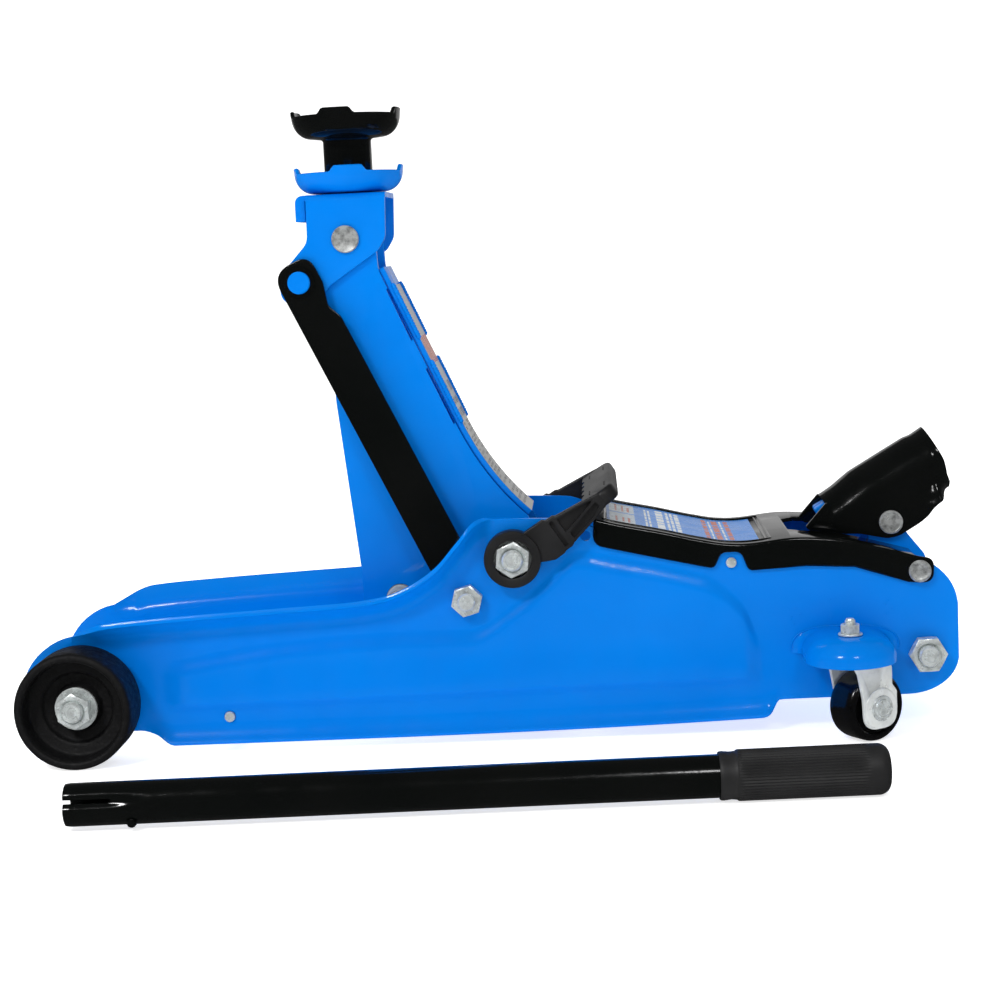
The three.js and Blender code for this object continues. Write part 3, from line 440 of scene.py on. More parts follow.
def ease(obj, width, limit):
    """A bevel over the edges that are sharper than a limit in degrees."""
    edge = obj.modifiers.new("edges", "BEVEL")
    edge.width = width * MM
    edge.segments = 2
    edge.limit_method = "ANGLE"
    edge.angle_limit = math.radians(limit)


def piece(name, shape, material, body, angle=32, bevel=0.0, cuts=(), adds=(), matrix=None):
    """A piece of the jack: joined with more shapes, cut, bevelled, and smooth up to an angle.

    It replaces the CAD node of its name where there is one."""
    obj = solid(name, shape, material, matrix)
    for tool, operation in [(tool, "UNION") for tool in adds] + [(tool, "DIFFERENCE") for tool in cuts]:
        cutter = solid(name + ".cut", tool, material, matrix)
        boolean = obj.modifiers.new("cut", "BOOLEAN")
        boolean.operation = operation
        boolean.solver = "EXACT"
        boolean.object = cutter
        settle(obj)
        bpy.data.objects.remove(cutter)
    if bevel:
        ease(obj, bevel, 38)
        settle(obj)
    sharpen(obj.data, angle)
    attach(obj, body)
    if name in NODES:
        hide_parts(name)
    return obj


def label(name, surface, rows, blocks, body):
    """A thin printed label on a curved surface(u, v, h), u and v from 0 to 1: a base sheet and raised blocks.

    Each block but the first, the base's material, is (u0, u1, v0, v1, material)."""
    height = 0.12

    def patch(u0, u1, v0, v1, low, high, count):
        rings = []
        for u in spread(u0, u1, count):
            rings.append([surface(u, v0, high), surface(u, v1, high), surface(u, v1, low), surface(u, v0, low)])
        return grid(rings, closed_v=True).laced(4)

    patches = [(patch(0, 1, 0, 1, 0, height, rows), blocks[0])]
    for u0, u1, v0, v1, material in blocks[1:]:
        count = max(2, round((u1 - u0) * rows) + 1)
        patches.append((patch(u0, u1, v0, v1, height * 0.5, height + 0.03, count), material))
    obj = placed(name, join(*[shape for shape, _ in patches]))
    kinds = list(dict.fromkeys(material for _, material in patches))
    for material in kinds:
        obj.data.materials.append(material)
    owners = [kinds.index(material) for shape, material in patches for _ in shape.faces]
    obj.data.polygons.foreach_set("material_index", owners)
    edit(obj.data, face_out)
    sharpen(obj.data, 30)
    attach(obj, body)


# ---------------------------------------------------------------- materials


def add_node(tree, kind, output, **inputs):
    """A new node's output; a socket given for an input is linked, anything else is set as its value."""
    node = tree.nodes.new("ShaderNode" + kind)
    for name, value in inputs.items():
        socket = node.inputs[name.replace("_", " ")]
        if isinstance(value, bpy.types.NodeSocket):
            tree.links.new(value, socket)
        else:
            socket.default_value = value
    return node.outputs[output]


def ranged(tree, value, low, high, to_low=0, to_high=1):
    """A value carried from one range to another."""
    return add_node(
        tree, "MapRange", "Result", Value=value, From_Min=low, From_Max=high, To_Min=to_low, To_Max=to_high
    )


class Finish:
    """A surface whose tone, gloss and bump follow noises over the object's own metres."""

    def __init__(self, name, colour, roughness, metallic=0.0, coat=0.0, coat_roughness=0.05, specular=0.5):
        self.material = bpy.data.materials.new(name)
        self.material.use_nodes = True
        self.tree = self.material.node_tree
        self.inputs = self.tree.nodes["Principled BSDF"].inputs
        self.colour, self.roughness = colour, roughness
        for socket, value in (
            ("Base Color", (*colour, 1)), ("Roughness", roughness),
            ("Metallic", metallic), ("Coat Weight", coat),
            ("Coat Roughness", coat_roughness), ("Specular IOR Level", specular),
        ):
            self.inputs[socket].default_value = value
        self.where = add_node(self.tree, "TexCoord", "Object")

    def noise(self, scale, detail=4.0, rough=0.55, stretch=None):
        """A noise with so many grains to a metre; stretch scales its axes."""
        where = self.where
        if stretch:
            where = add_node(self.tree, "Mapping", "Vector", Vector=where, Scale=stretch)
        return add_node(self.tree, "TexNoise", "Fac", Vector=where, Scale=scale, Detail=detail, Roughness=rough)

    def tone(self, value, low, high, other, most=1):
        """Takes the colour towards another one as the value goes from low to high."""
        node = self.tree.nodes.new("ShaderNodeMix")
        node.data_type = "RGBA"
        self.tree.links.new(ranged(self.tree, value, low, high, 0, most), node.inputs["Factor"])
        node.inputs["A"].default_value = (*self.colour, 1)
        node.inputs["B"].default_value = (*other, 1)
        self.tree.links.new(node.outputs["Result"], self.inputs["Base Color"])

    def gloss(self, value, less, more):
        """Varies the roughness from so much less to so much more."""
        rough = ranged(self.tree, value, 0.3, 0.7, self.roughness - less, self.roughness + more)
        self.tree.links.new(rough, self.inputs["Roughness"])

    def bump(self, *layers):
        """Bump from (value, strength, distance) layers, one over the other."""
        under = {}
        for value, strength, distance in layers:
            normal = add_node(
                self.tree, "Bump", "Normal", Height=value, Strength=strength, Distance=distance, **under
            )
            under = {"Normal": normal}
        self.tree.links.new(normal, self.inputs["Normal"])
        if self.inputs["Coat Weight"].default_value > 0:
            self.tree.links.new(normal, self.inputs["Coat Normal"])


def gloss_paint(name, colour, deep, roughness, coat, specular):
    """Sprayed gloss enamel: faint orange peel, uneven film, dust nibs and slightly deeper patches."""
    paint = Finish(name, colour, roughness, coat=coat, coat_roughness=0.06, specular=specular)
    peel = paint.noise(420, 2, 0.4)
    film = paint.noise(60, 3)
    nib = ranged(paint.tree, paint.noise(1500, 1, 0.3), 0.66, 0.72)
    paint.tone(paint.noise(14, 3), 0.35, 0.7, deep)
    paint.gloss(film, 0.05, 0.07)
    paint.bump((film, 0.12, 0.0006), (peel, 0.16, 0.00012), (nib, 0.12, 0.00006))
    return paint.material


def cast_iron_paint():
    """Black paint over rough cast iron: coarse sand grain, pits, and rubbed grey on the high grains."""
    iron = Finish("cast_iron", (0.005, 0.005, 0.0055), 0.55, specular=0.3)
    grain = iron.noise(900, 6, 0.7)
    lump = iron.noise(260, 4, 0.6)
    pit = add_node(iron.tree, "TexVoronoi", "Distance", Vector=iron.where, Scale=420)
    iron.tone(grain, 0.58, 0.75, (0.03, 0.03, 0.031), 0.8)
    iron.gloss(lump, 0.13, 0.17)
    iron.bump((lump, 0.5, 0.0006), (grain, 0.55, 0.0004), (ranged(iron.tree, pit, 0, 0.35), 0.25, 0.0003))
    return iron.material


def moulded_plastic(name, colour, roughness, grain_size=1400):
    """Moulded plastic: spark-eroded grain, soft flow marks and a slightly uneven gloss."""
    plastic = Finish(name, colour, roughness, specular=0.4)
    grain = plastic.noise(grain_size, 3, 0.6)
    flow = plastic.noise(30, 2, 0.5, (1, 0.35, 1))
    plastic.tone(flow, 0.35, 0.75, [c * 1.9 for c in colour])
    plastic.gloss(flow, 0.08, 0.08)
    plastic.bump((grain, 0.3, 0.0002), (flow, 0.1, 0.0006))
    return plastic.material


def zinc_plate(name, colour, roughness, mottle, metallic=1.0, dark_share=0.52):
    """Bright zinc on forged or rolled steel: mottled tone, smeared handling marks and a fine rolled grain.

    dark_share is how dark its spots are against the rest."""
    plate = Finish(name, colour, roughness, metallic=metallic)
    spots = plate.noise(mottle, 5, 0.65)
    plate.tone(spots, 0.42, 0.68, [c * dark_share for c in colour])
    plate.gloss(plate.noise(120, 3), 0.08, 0.14)
    plate.bump((spots, 0.18, 0.0003), (plate.noise(500, 3, 0.6, (1, 6, 1)), 0.08, 0.0001))
    return plate.material


def polished_chrome():
    """Hard chrome on a ground rod: a mirror with hairline grinding marks."""
    chrome = Finish("chrome", (0.80, 0.81, 0.82), 0.1, metallic=1.0)
    hair = chrome.noise(300, 4, 0.6, (12, 1, 12))
    chrome.gloss(hair, 0.03, 0.1)
    chrome.bump((hair, 0.06, 0.00005))
    return chrome.material


def printed_film(name, colour, roughness=0.28):
    """A printed vinyl label: faint dot screen, slight waviness and clear gloss."""
    film = Finish(name, colour, roughness, coat=0.25, coat_roughness=0.2)
    wave = film.noise(90, 2)
    film.tone(film.noise(2600, 1, 0.4), 0.4, 0.6, [min(1, c * 1.12 + 0.01) for c in colour])
    film.gloss(wave, 0.06, 0.08)
    film.bump((wave, 0.1, 0.0004))
    return film.material


BLUE = gloss_paint("blue_paint", (0.0, 0.2, 0.74), (0.0, 0.18, 0.69), 0.2, 0.3, 0.08)
BLACK = gloss_paint("black_paint", (0.0018, 0.0024, 0.0022), (0.003, 0.0034, 0.0032), 0.13, 0.35, 0.25)
CAST = cast_iron_paint()
PLASTIC = moulded_plastic("black_plastic", (0.010, 0.010, 0.0105), 0.42)
RUBBER = moulded_plastic("grip_plastic", (0.012, 0.012, 0.0125), 0.5, 1800)
WHEEL = moulded_plastic("caster_plastic", (0.0015, 0.0015, 0.0017), 0.16, 700)
ZINC = zinc_plate("zinc", (0.78, 0.83, 0.82), 0.24, 260, 0.45, 0.62)
FORK = zinc_plate("zinc_bright", (0.80, 0.83, 0.81), 0.34, 90, 0.2, 0.78)
PIN = zinc_plate("zinc_mottled", (0.66, 0.68, 0.67), 0.32, 240, 0.6, 0.3)
STEEL = zinc_plate("spring_steel", (0.30, 0.30, 0.31), 0.3, 400)
CHROME = polished_chrome()
LABEL_PAPER = printed_film("label_paper", (0.40, 0.40, 0.39), 0.5)
LABEL_BASE = printed_film("label_pale", (0.42, 0.50, 0.58))
LABEL_BLUE = printed_film("label_blue", (0.02, 0.20, 0.62))
LABEL_WHITE = printed_film("label_white", (0.62, 0.66, 0.68))
LABEL_RED = printed_film("label_red", (0.42, 0.07, 0.04))
LABEL_GREY = printed_film("label_grey", (0.10, 0.105, 0.11))

MATERIAL_OF = {
    "blue_paint": BLUE, "black_paint": BLACK, "cast_iron": CAST, "black_plastic": PLASTIC, "zinc": ZINC,
    "chrome": CHROME, "label_face": LABEL_BASE,
}

# ---------------------------------------------------------------- floor, lights, camera

FLOOR_GLOW = 0.7
WORLD_LIGHT = 0.43
WORLD_IN_GLOSS = 0.05
# Each soft box: where it stands and what it faces, its width, height and power, and whether gloss shows it.
SOFT_BOXES = (
    ("key_left", (-0.95, -1.5, 1.5), (0, 0, 0.14), 0.4, 0.3, 17, True),
    ("key_right", (0.45, -1.6, 1.35), (0, 0, 0.14), 0.3, 0.3, 5, True),
    ("top", (-0.3, 0.1, 2.0), (0, 0, 0.1), 1.6, 0.5, 11, False),
    ("back", (0.3, 2.0, 1.3), (0, 0, 0.2), 2.0, 0.6, 5, False),
    ("horizon", (0.1, 2.4, 0.6), (0, 0, 0.15), 3.4, 1.0, 5, True),
)
# The camera: where it stands in millimetres, its turn about Z, its dip and its roll in degrees, and its lens.
CAMERA_AT, CAMERA_TURN, CAMERA_DIP, CAMERA_ROLL, CAMERA_LENS = (66.8, -1133.7, 283.3), 2.82, 7.19, 2.7, 73.0


def curved_backdrop():
    """A pale floor that curves up into a wall far behind the object."""
    half_width, front, bend, wall_top = 14, -6.0, 3.0, 9.0
    profile = [(front, 0.0), (4.0, 0.0)]
    profile += [(4.0 + bend * math.sin(a), bend * (1 - math.cos(a))) for a in spread(0.1, math.pi / 2, 16)]
    profile.append((4.0 + bend, wall_top))
    shape = grid([[Vector((x, y, z)) for x in (-half_width, half_width)] for y, z in profile])
    mesh = bpy.data.meshes.new("floor")
    mesh.from_pydata(shape.verts, [], shape.faces)
    for f in mesh.polygons:
        f.use_smooth = True
    obj = bpy.data.objects.new("floor", mesh)
    SCENE.collection.objects.link(obj)
    floor = Finish("floor", (0.89, 0.89, 0.895), 0.85, specular=0.1)
    floor.inputs["Emission Color"].default_value = (1, 1, 1, 1)
    floor.inputs["Emission Strength"].default_value = FLOOR_GLOW
    floor.tone(floor.noise(6, 2), 0, 1, (0.91, 0.91, 0.91))
    mesh.materials.append(floor.material)
    obj.visible_glossy = False


def soft_box(name, at, target, width, height, power, in_gloss):
    light = bpy.data.lights.new(name, "AREA")
    light.shape = "RECTANGLE"
    light.size, light.size_y = width, height
    light.energy = power
    obj = bpy.data.objects.new(name, light)
    SCENE.collection.objects.link(obj)
    obj.visible_camera = False
    obj.visible_glossy = in_gloss
    obj.location = at
    obj.rotation_mode = "QUATERNION"
    obj.rotation_quaternion = (Vector(target) - Vector(at)).to_track_quat("-Z", "Y")


def studio():
    """A white world, dim as a light and nearly dark in gloss, where only some of the soft boxes show."""
    world = bpy.data.worlds.new("studio")
    SCENE.world = world
    world.use_nodes = True
    tree = world.node_tree
    rays = tree.nodes.new("ShaderNodeLightPath").outputs
    lit = ranged(tree, rays["Is Glossy Ray"], 0, 1, WORLD_LIGHT, WORLD_IN_GLOSS)
    seen = tree.nodes.new("ShaderNodeMath")
    seen.operation = "MAXIMUM"
    tree.links.new(lit, seen.inputs[0])
    tree.links.new(rays["Is Camera Ray"], seen.inputs[1])
    background = tree.nodes["Background"].inputs
    background["Color"].default_value = (1, 1, 1, 1)
    tree.links.new(seen.outputs["Value"], background["Strength"])
    for box in SOFT_BOXES:
        soft_box(*box)
    SCENE.view_settings.view_transform = "Standard"
    SCENE.view_settings.look = "None"
    SCENE.view_settings.exposure = 0.0


def aim_camera():
    y, p, r = math.radians(CAMERA_TURN), math.radians(CAMERA_DIP), math.radians(CAMERA_ROLL)
    forward = Vector((-math.sin(y) * math.cos(p), math.cos(y) * math.cos(p), -math.sin(p)))
    level = forward.cross(Vector((0, 0, 1))).normalized()
    above = level.cross(forward)
    right = math.cos(r) * level - math.sin(r) * above
    up = math.sin(r) * level + math.cos(r) * above
    camera = bpy.data.cameras.new("camera")
    camera.lens, camera.sensor_width = CAMERA_LENS, 36
    camera.clip_start, camera.clip_end = 0.05, 50
    obj = bpy.data.objects.new("camera", camera)
    SCENE.collection.objects.link(obj)
    turn = Matrix((right, up, -forward)).transposed()
    obj.matrix_world = Matrix.Translation(Vector(CAMERA_AT) * MM) @ turn.to_4x4()
    SCENE.camera = obj


aim_camera()
curved_backdrop()
studio()

# ---------------------------------------------------------------- side plates

PLATE_TOP = (
    (-258, 70), (-252, 71.5), (-233, 77), (-190, 79.8), (-133, 82.3), (-97, 83.8), (-74, 86.5), (-60, 91.5),
    (-44, 101.5), (-31, 115.5), (-20, 127), (-12, 129), (30, 127.5), (48, 121.5), (84, 113.5), (110, 107),
    (126, 105.5), (160, 107.5), (190, 103.5), (221, 97.5),
)
PLATE_BOTTOM = (
    (-262, 14), (-220, 14), (-211, 12), (-200, 7), (-70, 7.3), (137, 11), (143, 12.5), (148, 18.8), (152, 19),
    (221, 19.5),
)
PANEL_TOP = (
    (-200, 50), (-120, 60), (-60, 62), (-27, 62), (0, 76), (20, 92), (36, 104), (80, 98), (110, 87), (128, 72),
    (138, 50),
)
PLATE_FRONT, PLATE_REAR = -287.5, 249.5
LOBE_RADIUS = 37.5
REAR_ROUND_X, REAR_ROUND = 221, 28.5
LOW_ROUND, LOW_SQUEEZE = 22, 0.77
FLANGE_OUT, FLANGE_DROP = 15, 13
CURL_OUT, CURL_RISE = 5, 11
PANEL_OUT = 3


def round_end(d, radius):
    return math.sqrt(max(radius**2 - d**2, 4))


def plate_top(x):
    if x < PLATE_TOP[0][0]:
        return FRONT_AXLE[1] + round_end(x - FRONT_AXLE[0], LOBE_RADIUS)
    if x > REAR_ROUND_X:
        return PLATE_TOP[-1][1] - REAR_ROUND + round_end(x - REAR_ROUND_X, REAR_ROUND)
    return smooth(PLATE_TOP, x)


def plate_bottom(x):
    if x < PLATE_BOTTOM[0][0]:
        return max(14, FRONT_AXLE[1] - round_end(x - FRONT_AXLE[0], LOBE_RADIUS))
    if x > REAR_ROUND_X:
        return PLATE_BOTTOM[-1][1] + LOW_ROUND - round_end((x - REAR_ROUND_X) * LOW_SQUEEZE, LOW_ROUND)
    return smooth(PLATE_BOTTOM, x)


def panel_edges(x):
    """Heights where the raised panel starts to rise, is fully raised, starts to fall and has ended."""
    low = 23 + 4 * ramp(x, -190, 120)
    high = min(smooth(PANEL_TOP, x) + 5, plate_top(x) - FLANGE_DROP - 1)
    return low, low + 7, high - 11, high


def pressing(x, z):
    """How far the pressed sheet stands out from the flat web at (x, z)."""
    top, bottom = plate_top(x), plate_bottom(x)
    flange = ramp(x, -258, -236) * (1 - ramp(x, -27, -10))
    from_top = min(max((top - z) / FLANGE_DROP, 0), 1)
    curl = ramp(x, -218, -200) * (1 - ramp(x, 140, 148))
    from_bottom = min(max((z - bottom) / CURL_RISE, 0), 1)
    low, low_full, high_full, high = panel_edges(x)
    panel = ramp(x, -206, -190) * (1 - ramp(x, 128, 140))
    panel *= ramp(z, low, low_full) * (1 - ramp(z, high_full, high))
    bent = flange * FLANGE_OUT * (1 - from_top) ** 2.2 + curl * CURL_OUT * (1 - from_bottom) ** 2
    return bent + PANEL_OUT * panel


def plate_stations():
    front, rear = FRONT_AXLE[0] - PLATE_FRONT, PLATE_REAR - REAR_ROUND_X
    stations = [FRONT_AXLE[0] - front * math.cos(a) for a in spread(0, math.pi / 2 * 0.9, 12)]
    stations += spread(-244, -100, 60) + spread(-98, -6, 58) + spread(-3, 126, 44) + spread(128, 152, 18)
    stations += spread(156, 220, 16) + [REAR_ROUND_X + rear * math.sin(a) for a in spread(0, math.pi / 2, 14)]
    return sorted(set(round(s, 4) for s in stations))


def plate_rows(x):
    """Heights up the plate at x: close together on the curl, the panel's two edges and the flange."""
    bottom, top = plate_bottom(x), plate_top(x)
    squeeze = min(1, (top - bottom) / 45)
    low, high = bottom + CURL_RISE * squeeze, top - FLANGE_DROP * squeeze
    on_panel = ramp(x, -230, -206) * (1 - ramp(x, 140, 160))
    even = [low + (high - low) * share for share in (0.15, 0.3, 0.6, 0.8)]
    marks = [e * (1 - on_panel) + p * on_panel for e, p in zip(even, panel_edges(x))]
    heights = []
    for a, b, count in zip([bottom, low, *marks], [low, *marks, high], (8, 3, 7, 6, 8, 4)):
        heights += spread(a, b, count)[:-1]
    return heights + [high + (top - high) * (1 - (1 - t) ** 1.6) for t in spread(0, 1, 12)]


def side_plate(side):
    rows = []
    for x in plate_stations():
        line = [(PLATE_OUTER + pressing(x, z), z) for z in plate_rows(x)]
        rows.append([Vector((x, side * y, z)) for y, z in line + offset_line(line, SHEET)[::-1]])
    return grid(rows, closed_v=True).laced(len(rows[0]))


def hole(at, radius, side, sides=32):
    return plug(along_y(at, side), radius, 40, 75, sides)


def plate_details(name, side):
    """The plate's fasteners and rod ends, as the workshop fits them."""

    def fitted(part, *shapes, material=ZINC):
        piece(f"{part}_{name}", join(*shapes), material, "frame")

    axle, pivot, rear, bolt, pin = [
        along_y(at, side) for at in (FRONT_AXLE, MAIN_PIVOT, REAR_BOLT, LINK_BOLT, COVER_PIN)
    ]
    fitted("axle_nut", hex_nut(axle, NUT_ACROSS, NUT_BORE, 76.9, 84.5, 0.55, both=True))
    washer = [(BAR_BORE, 74.5), (12, 74.5), (12.2, 74.8), (12.2, 76.2), (11.8, 76.5), (6.6, 76.5)]
    fitted("axle_washer", lathe(washer, axle, 64, closed=True))
    collar = [(BAR_BORE, 53.4), (11.2, 53.4), (11.2, 56.9), (10.6, 57.4), (BAR_BORE, 57.4)]
    nut = hex_nut(pivot, NUT_ACROSS, NUT_BORE, 57.4, 65.5, 0.42)
    fitted("main_pivot_nut", lathe(collar, pivot, 64, closed=True), nut)
    fitted("rear_tie_nut", hex_nut(rear, NUT_ACROSS + 0.5, NUT_BORE, 53.4, 61.5, 0.02, both=True))
    tip = [(0, 60), (4.3, 60), (4.6, 60.6), (5, 60.6), (5, 62.8), (4.4, 63.5), (0, 63.5)]
    fitted(
        "link_bolt", hex_nut(bolt, 16.0, 0, 53.4, 60.2, 0.27), lathe(tip, bolt, 40), plug(bolt, 5, 42, 54, 40),
        lathe([(5, 46.9), (8.5, 46.9), (8.5, 49.6), (5, 49.6)], bolt, 40, closed=True),
        lathe([(0, 41), (7.9, 41), (8.5, 41.4), (8.5, 42.2), (0, 42.2)], bolt, 40),
    )
    rivet = [(0, 47), (4, 47), (4, 56.9), (6.0, 56.9), (6.3, 57.2), (6.3, 57.7), (5.7, 58.3), (4.6, 58.4)]
    fitted("cover_pin", lathe(rivet + [(4.2, 58.15), (0, 58.1)], pin, 64), material=PIN)


def bar_end(end):
    """A bar's end: chamfered rim, a turned ring groove and a flat centre."""
    r = BAR_RADIUS
    groove = [(r * 0.58, end - 0.35), (r * 0.5, end - 0.35)]
    return [(r, end - 1.2), (r - 0.9, end), (r * 0.62, end)] + groove + [(r * 0.46, end), (0, end)]


def cross_bar(name, at, profile, threaded=()):
    """A bar across the jack, the same at both ends; threaded is its screw's radius, start and end."""
    shapes = []
    for _, side in SIDES:
        end = along_y(at, side)
        shapes.append(lathe(profile, end, 56))
        if threaded:
            shapes.append(thread(end, *threaded, 1.5, 40))
    piece(name, join(*shapes), ZINC, "frame")


for side_name, side_sign in SIDES:
    holes = ((FRONT_AXLE, BAR_BORE), (FRONT_ROD, 3.3), (COVER_ROD, 2.9), (SPARE_HOLE, 3))
    piece(
        f"side_plate_{side_name}", side_plate(side_sign), BLUE, "frame", angle=30, bevel=0.7,
        cuts=[hole(at, radius, side_sign) for at, radius in holes],
    )
    plate_details(side_name, side_sign)

axle_profile = [(9.5, 0), (9.5, 49), (8.9, 49.6), (BAR_RADIUS, 49.6), (BAR_RADIUS, 76)] + bar_end(87.5)
cross_bar("front_axle", FRONT_AXLE, axle_profile, (6.15, 76.5, 86.3))
cross_bar("main_pivot_shaft", MAIN_PIVOT, [(BAR_RADIUS, 0), (BAR_RADIUS, 64)] + bar_end(68.8))
cross_bar("rear_tie_bolt", REAR_BOLT, [(BAR_RADIUS, 0), (BAR_RADIUS, 60)] + bar_end(65.8))
rod_tip = [(2.9, 49.6), (2.9, 53.2), (3.1, 53.6), (2.7, 54.3), (1.2, 54.55), (0, 54.5)]
cross_bar("front_tie_rod", FRONT_ROD, [(5, 0), (5, 49.2), (4.6, 49.6)] + rod_tip)
cross_bar("cover_rod", COVER_ROD, [(2.5, 0), (2.5, 53), (3.0, 53.6), (2.8, 54.6), (1.4, 55), (0, 54.9)])

# ---------------------------------------------------------------- lift arm

ARM_OUTER, ARM_SHEET = 24, 4
ARM_SLITS = (((-66, 261), (-53, 231)), ((-45.5, 214.5), (-31, 182)))
ARM_BEADS = (((-63.2, 263.9), (-49, 231.4)), ((-43.2, 218.9), (-27, 181.9)))
HUB_RADIUS = 13
SLIT = 1.2


def back_line(steps=20):
    """The curved back edge of the arm, from the head down to the hub."""
    a, b, c = Vector((-29.5, 179)), Vector((-15, 148)), Vector((8.5, 126.5))
    curve = [a * (1 - t) ** 2 + b * 2 * t * (1 - t) + c * t * t for t in spread(0, 1, steps)]
    straight = [Vector((-71, 272)).lerp(a, t) for t in spread(0, 1, 14)][:-1]
    return [tuple(p) for p in straight + curve]


def arm_cheek(name, side):
    points = [(HEAD_PIVOT[0] - 16, HEAD_PIVOT[1] + 16, 16), (HEAD_PIVOT[0] + 16, HEAD_PIVOT[1] + 16, 16)]
    points += [(-71, 272, 20), (-29.5, 179, 2)] + back_line()[15:]
    points += [(20, 104, 12), (6, 85, 12), (-54, 60, 14), (-89, 61, 18), (-90, 98, 10), (-99.3, 196, 60)]
    y0, y1 = sorted((side * (ARM_OUTER - ARM_SHEET), side * ARM_OUTER))
    cuts = []
    for a, b in ARM_SLITS:
        line = [a, tuple((Vector(a) + Vector(b)) / 2), b]
        cuts.append(slab(offset_line(line, -SLIT) + offset_line(line, 0)[::-1], y0 - 1, y1 + 1))
    for at, radius in ((MAIN_PIVOT, HUB_RADIUS), (RAM_PIVOT, 8), (HEAD_PIVOT, 8)):
        cuts.append(plug(along_y(at, side), radius + GAP, 10, 60))
    piece(f"arm_cheek_{name}", slab(rounded(points, 8), y0, y1, 0.5), BLUE, "lift_arm", cuts=cuts)
    # Each bead fills the corner between the cheek's edge and the back plate.
    beads = []
    for k, ends in enumerate(ARM_BEADS):
        beads.append(weld_bead([Vector((x, side * (ARM_OUTER - 1), z)) for x, z in ends], 1.3, 11 + k + side))
    piece(f"arm_weld_{name}", join(*beads), BLUE, "lift_arm", angle=70)


def arm_label_surface(u, v, h):
    line = offset_line(back_line(30), GAP + SHEET + 0.02 + h)
    d = 1.5 + u * (len(line) - 2.6)
    i = min(int(d), len(line) - 2)
    x, z = Vector(line[i]).lerp(Vector(line[i + 1]), d - i)
    return Vector((x, -20.5 + 41 * v, z))


def arm_label_blocks():
    draw = random.Random(5)
    blocks = [LABEL_PAPER, (0.105, 0.16, 0.06, 0.94, LABEL_RED)]
    u = 0.2
    while u < 0.95:
        deep = draw.choice((0.013, 0.016, 0.02))
        v = 0.08
        while v < 0.9:
            reach = draw.choice((0.14, 0.22, 0.3, 0.42))
            if draw.random() < 0.82:
                blocks.append((u, u + deep, v, min(v + reach, 0.93), LABEL_GREY))
            v += reach + 0.045
        u += deep + draw.choice((0.01, 0.013, 0.024))
    return blocks


for side_name, side_sign in SIDES:
    arm_cheek(side_name, side_sign)
arm_back = offset_line(back_line(26), GAP) + offset_line(back_line(26), GAP + SHEET)[::-1]
piece("arm_back_plate", slab(arm_back, -22, 22, 0.5), BLUE, "lift_arm")
label("arm_label", arm_label_surface, 44, arm_label_blocks(), "lift_arm")
hub = [(HUB_RADIUS, 0), (HUB_RADIUS, 48.8), (HUB_RADIUS - 0.8, 49.6), (BAR_BORE, 49.6), (BAR_BORE, 0)]
piece("arm_hub", both_ends(hub, MAIN_PIVOT, 64), PIN, "lift_arm")
ram_pin = [(10.5, 0), (10.5, 15), (10, 15.6), (8, 15.6), (8, 25.2), (7.2, 26), (5.6, 26)]
ram_pin += [(5.4, 25.6), (0, 25.5)]
piece("ram_pin", both_ends(ram_pin, RAM_PIVOT, 56), ZINC, "lift_arm")

# ---------------------------------------------------------------- head, saddles, link bars

HEAD_INNER = 24.5
HEAD_FRONT, HEAD_REAR = -110, -64.5
TOOTH = 3.4
BLUE_TOP, BLACK_TOP = 332, 364.5
LINK_TOP_Y, LINK_BOTTOM_Y, LINK_HALF = 30, 44.5, 12


def head_bracket():
    outer, bend, under = HEAD_INNER + SHEET, 4.2, HEAD_TOP - SHEET
    # The cheeks start above the roof; the bend's cutter takes them down to a rounded corner.
    cheek = [
        (HEAD_FRONT, HEAD_TOP + 1), (HEAD_REAR, HEAD_TOP + 1), (-65.5, 290, 10), (-70, 283, 8), (-99, 264, 6),
        (-106, 254.5, 10), (-127, 254.5, 12), (-128, 270, 9), (-110.5, 289, 10),
    ]
    cheek = rounded(cheek, 7)
    roof = box_shape(HEAD_FRONT, HEAD_REAR, -HEAD_INNER - 1, HEAD_INNER + 1, under, HEAD_TOP)
    hook = [
        (-117, HEAD_TOP - 0.05, 5), (-100, HEAD_TOP - 0.05), (-100, under + 0.1), (-111.2, under + 0.1, 1),
        (-111.2, 301, 0.6), (-117, 301, 0.6),
    ]
    corner = []
    for a in spread(0, math.pi / 2, 8):
        corner.append((outer - bend * (1 - math.sin(a)), HEAD_TOP - bend * (1 - math.cos(a))))
    corner += [(outer + 3, HEAD_TOP - bend), (outer + 3, HEAD_TOP + 4), (outer - bend, HEAD_TOP + 4)]
    cuts = []
    for _, side in SIDES:
        cuts.append(cross_slab([(side * y, z) for y, z in corner], -130, -50))
        for at, radius in ((HEAD_PIVOT, 7 + GAP), (LINK_PIN, 5.5 + GAP)):
            cuts.append(plug(along_y(at, side), radius, 20, 40))
    cuts.append(plug(along_z(SADDLE_X, 0), 13.4, 300, 330, 64))
    piece(
        "head_bracket", slab(cheek, -outer, -HEAD_INNER, 0.4), BLUE, "head", cuts=cuts,
        adds=[slab(cheek, HEAD_INNER, outer, 0.4), roof, slab(rounded(hook, 6), -22, 22, 0.4)],
    )


def head_pins():
    pin = [(7, 0), (7, 27.9), (7.8, 28), (7.8, 29.2), (7.4, 29.6), (6.9, 29.55), (6.4, 29.3), (0, 29.35)]
    piece("head_pin", both_ends(pin, HEAD_PIVOT, 64), PIN, "head")
    pin = [(5.5, 0), (5.5, 32.9), (6.3, 33), (6.4, 34.8), (5.8, 35.4), (0, 35.5)]
    piece("link_pin", both_ends(pin, LINK_PIN, 56), BLUE, "head")
    clip = [(6.7, 32.0), (8.6, 32.0), (8.9, 32.3), (8.6, 32.9), (6.7, 33.1)]
    piece("link_pin_clips", both_ends(clip, LINK_PIN, 56, closed=True), BLACK, "head")


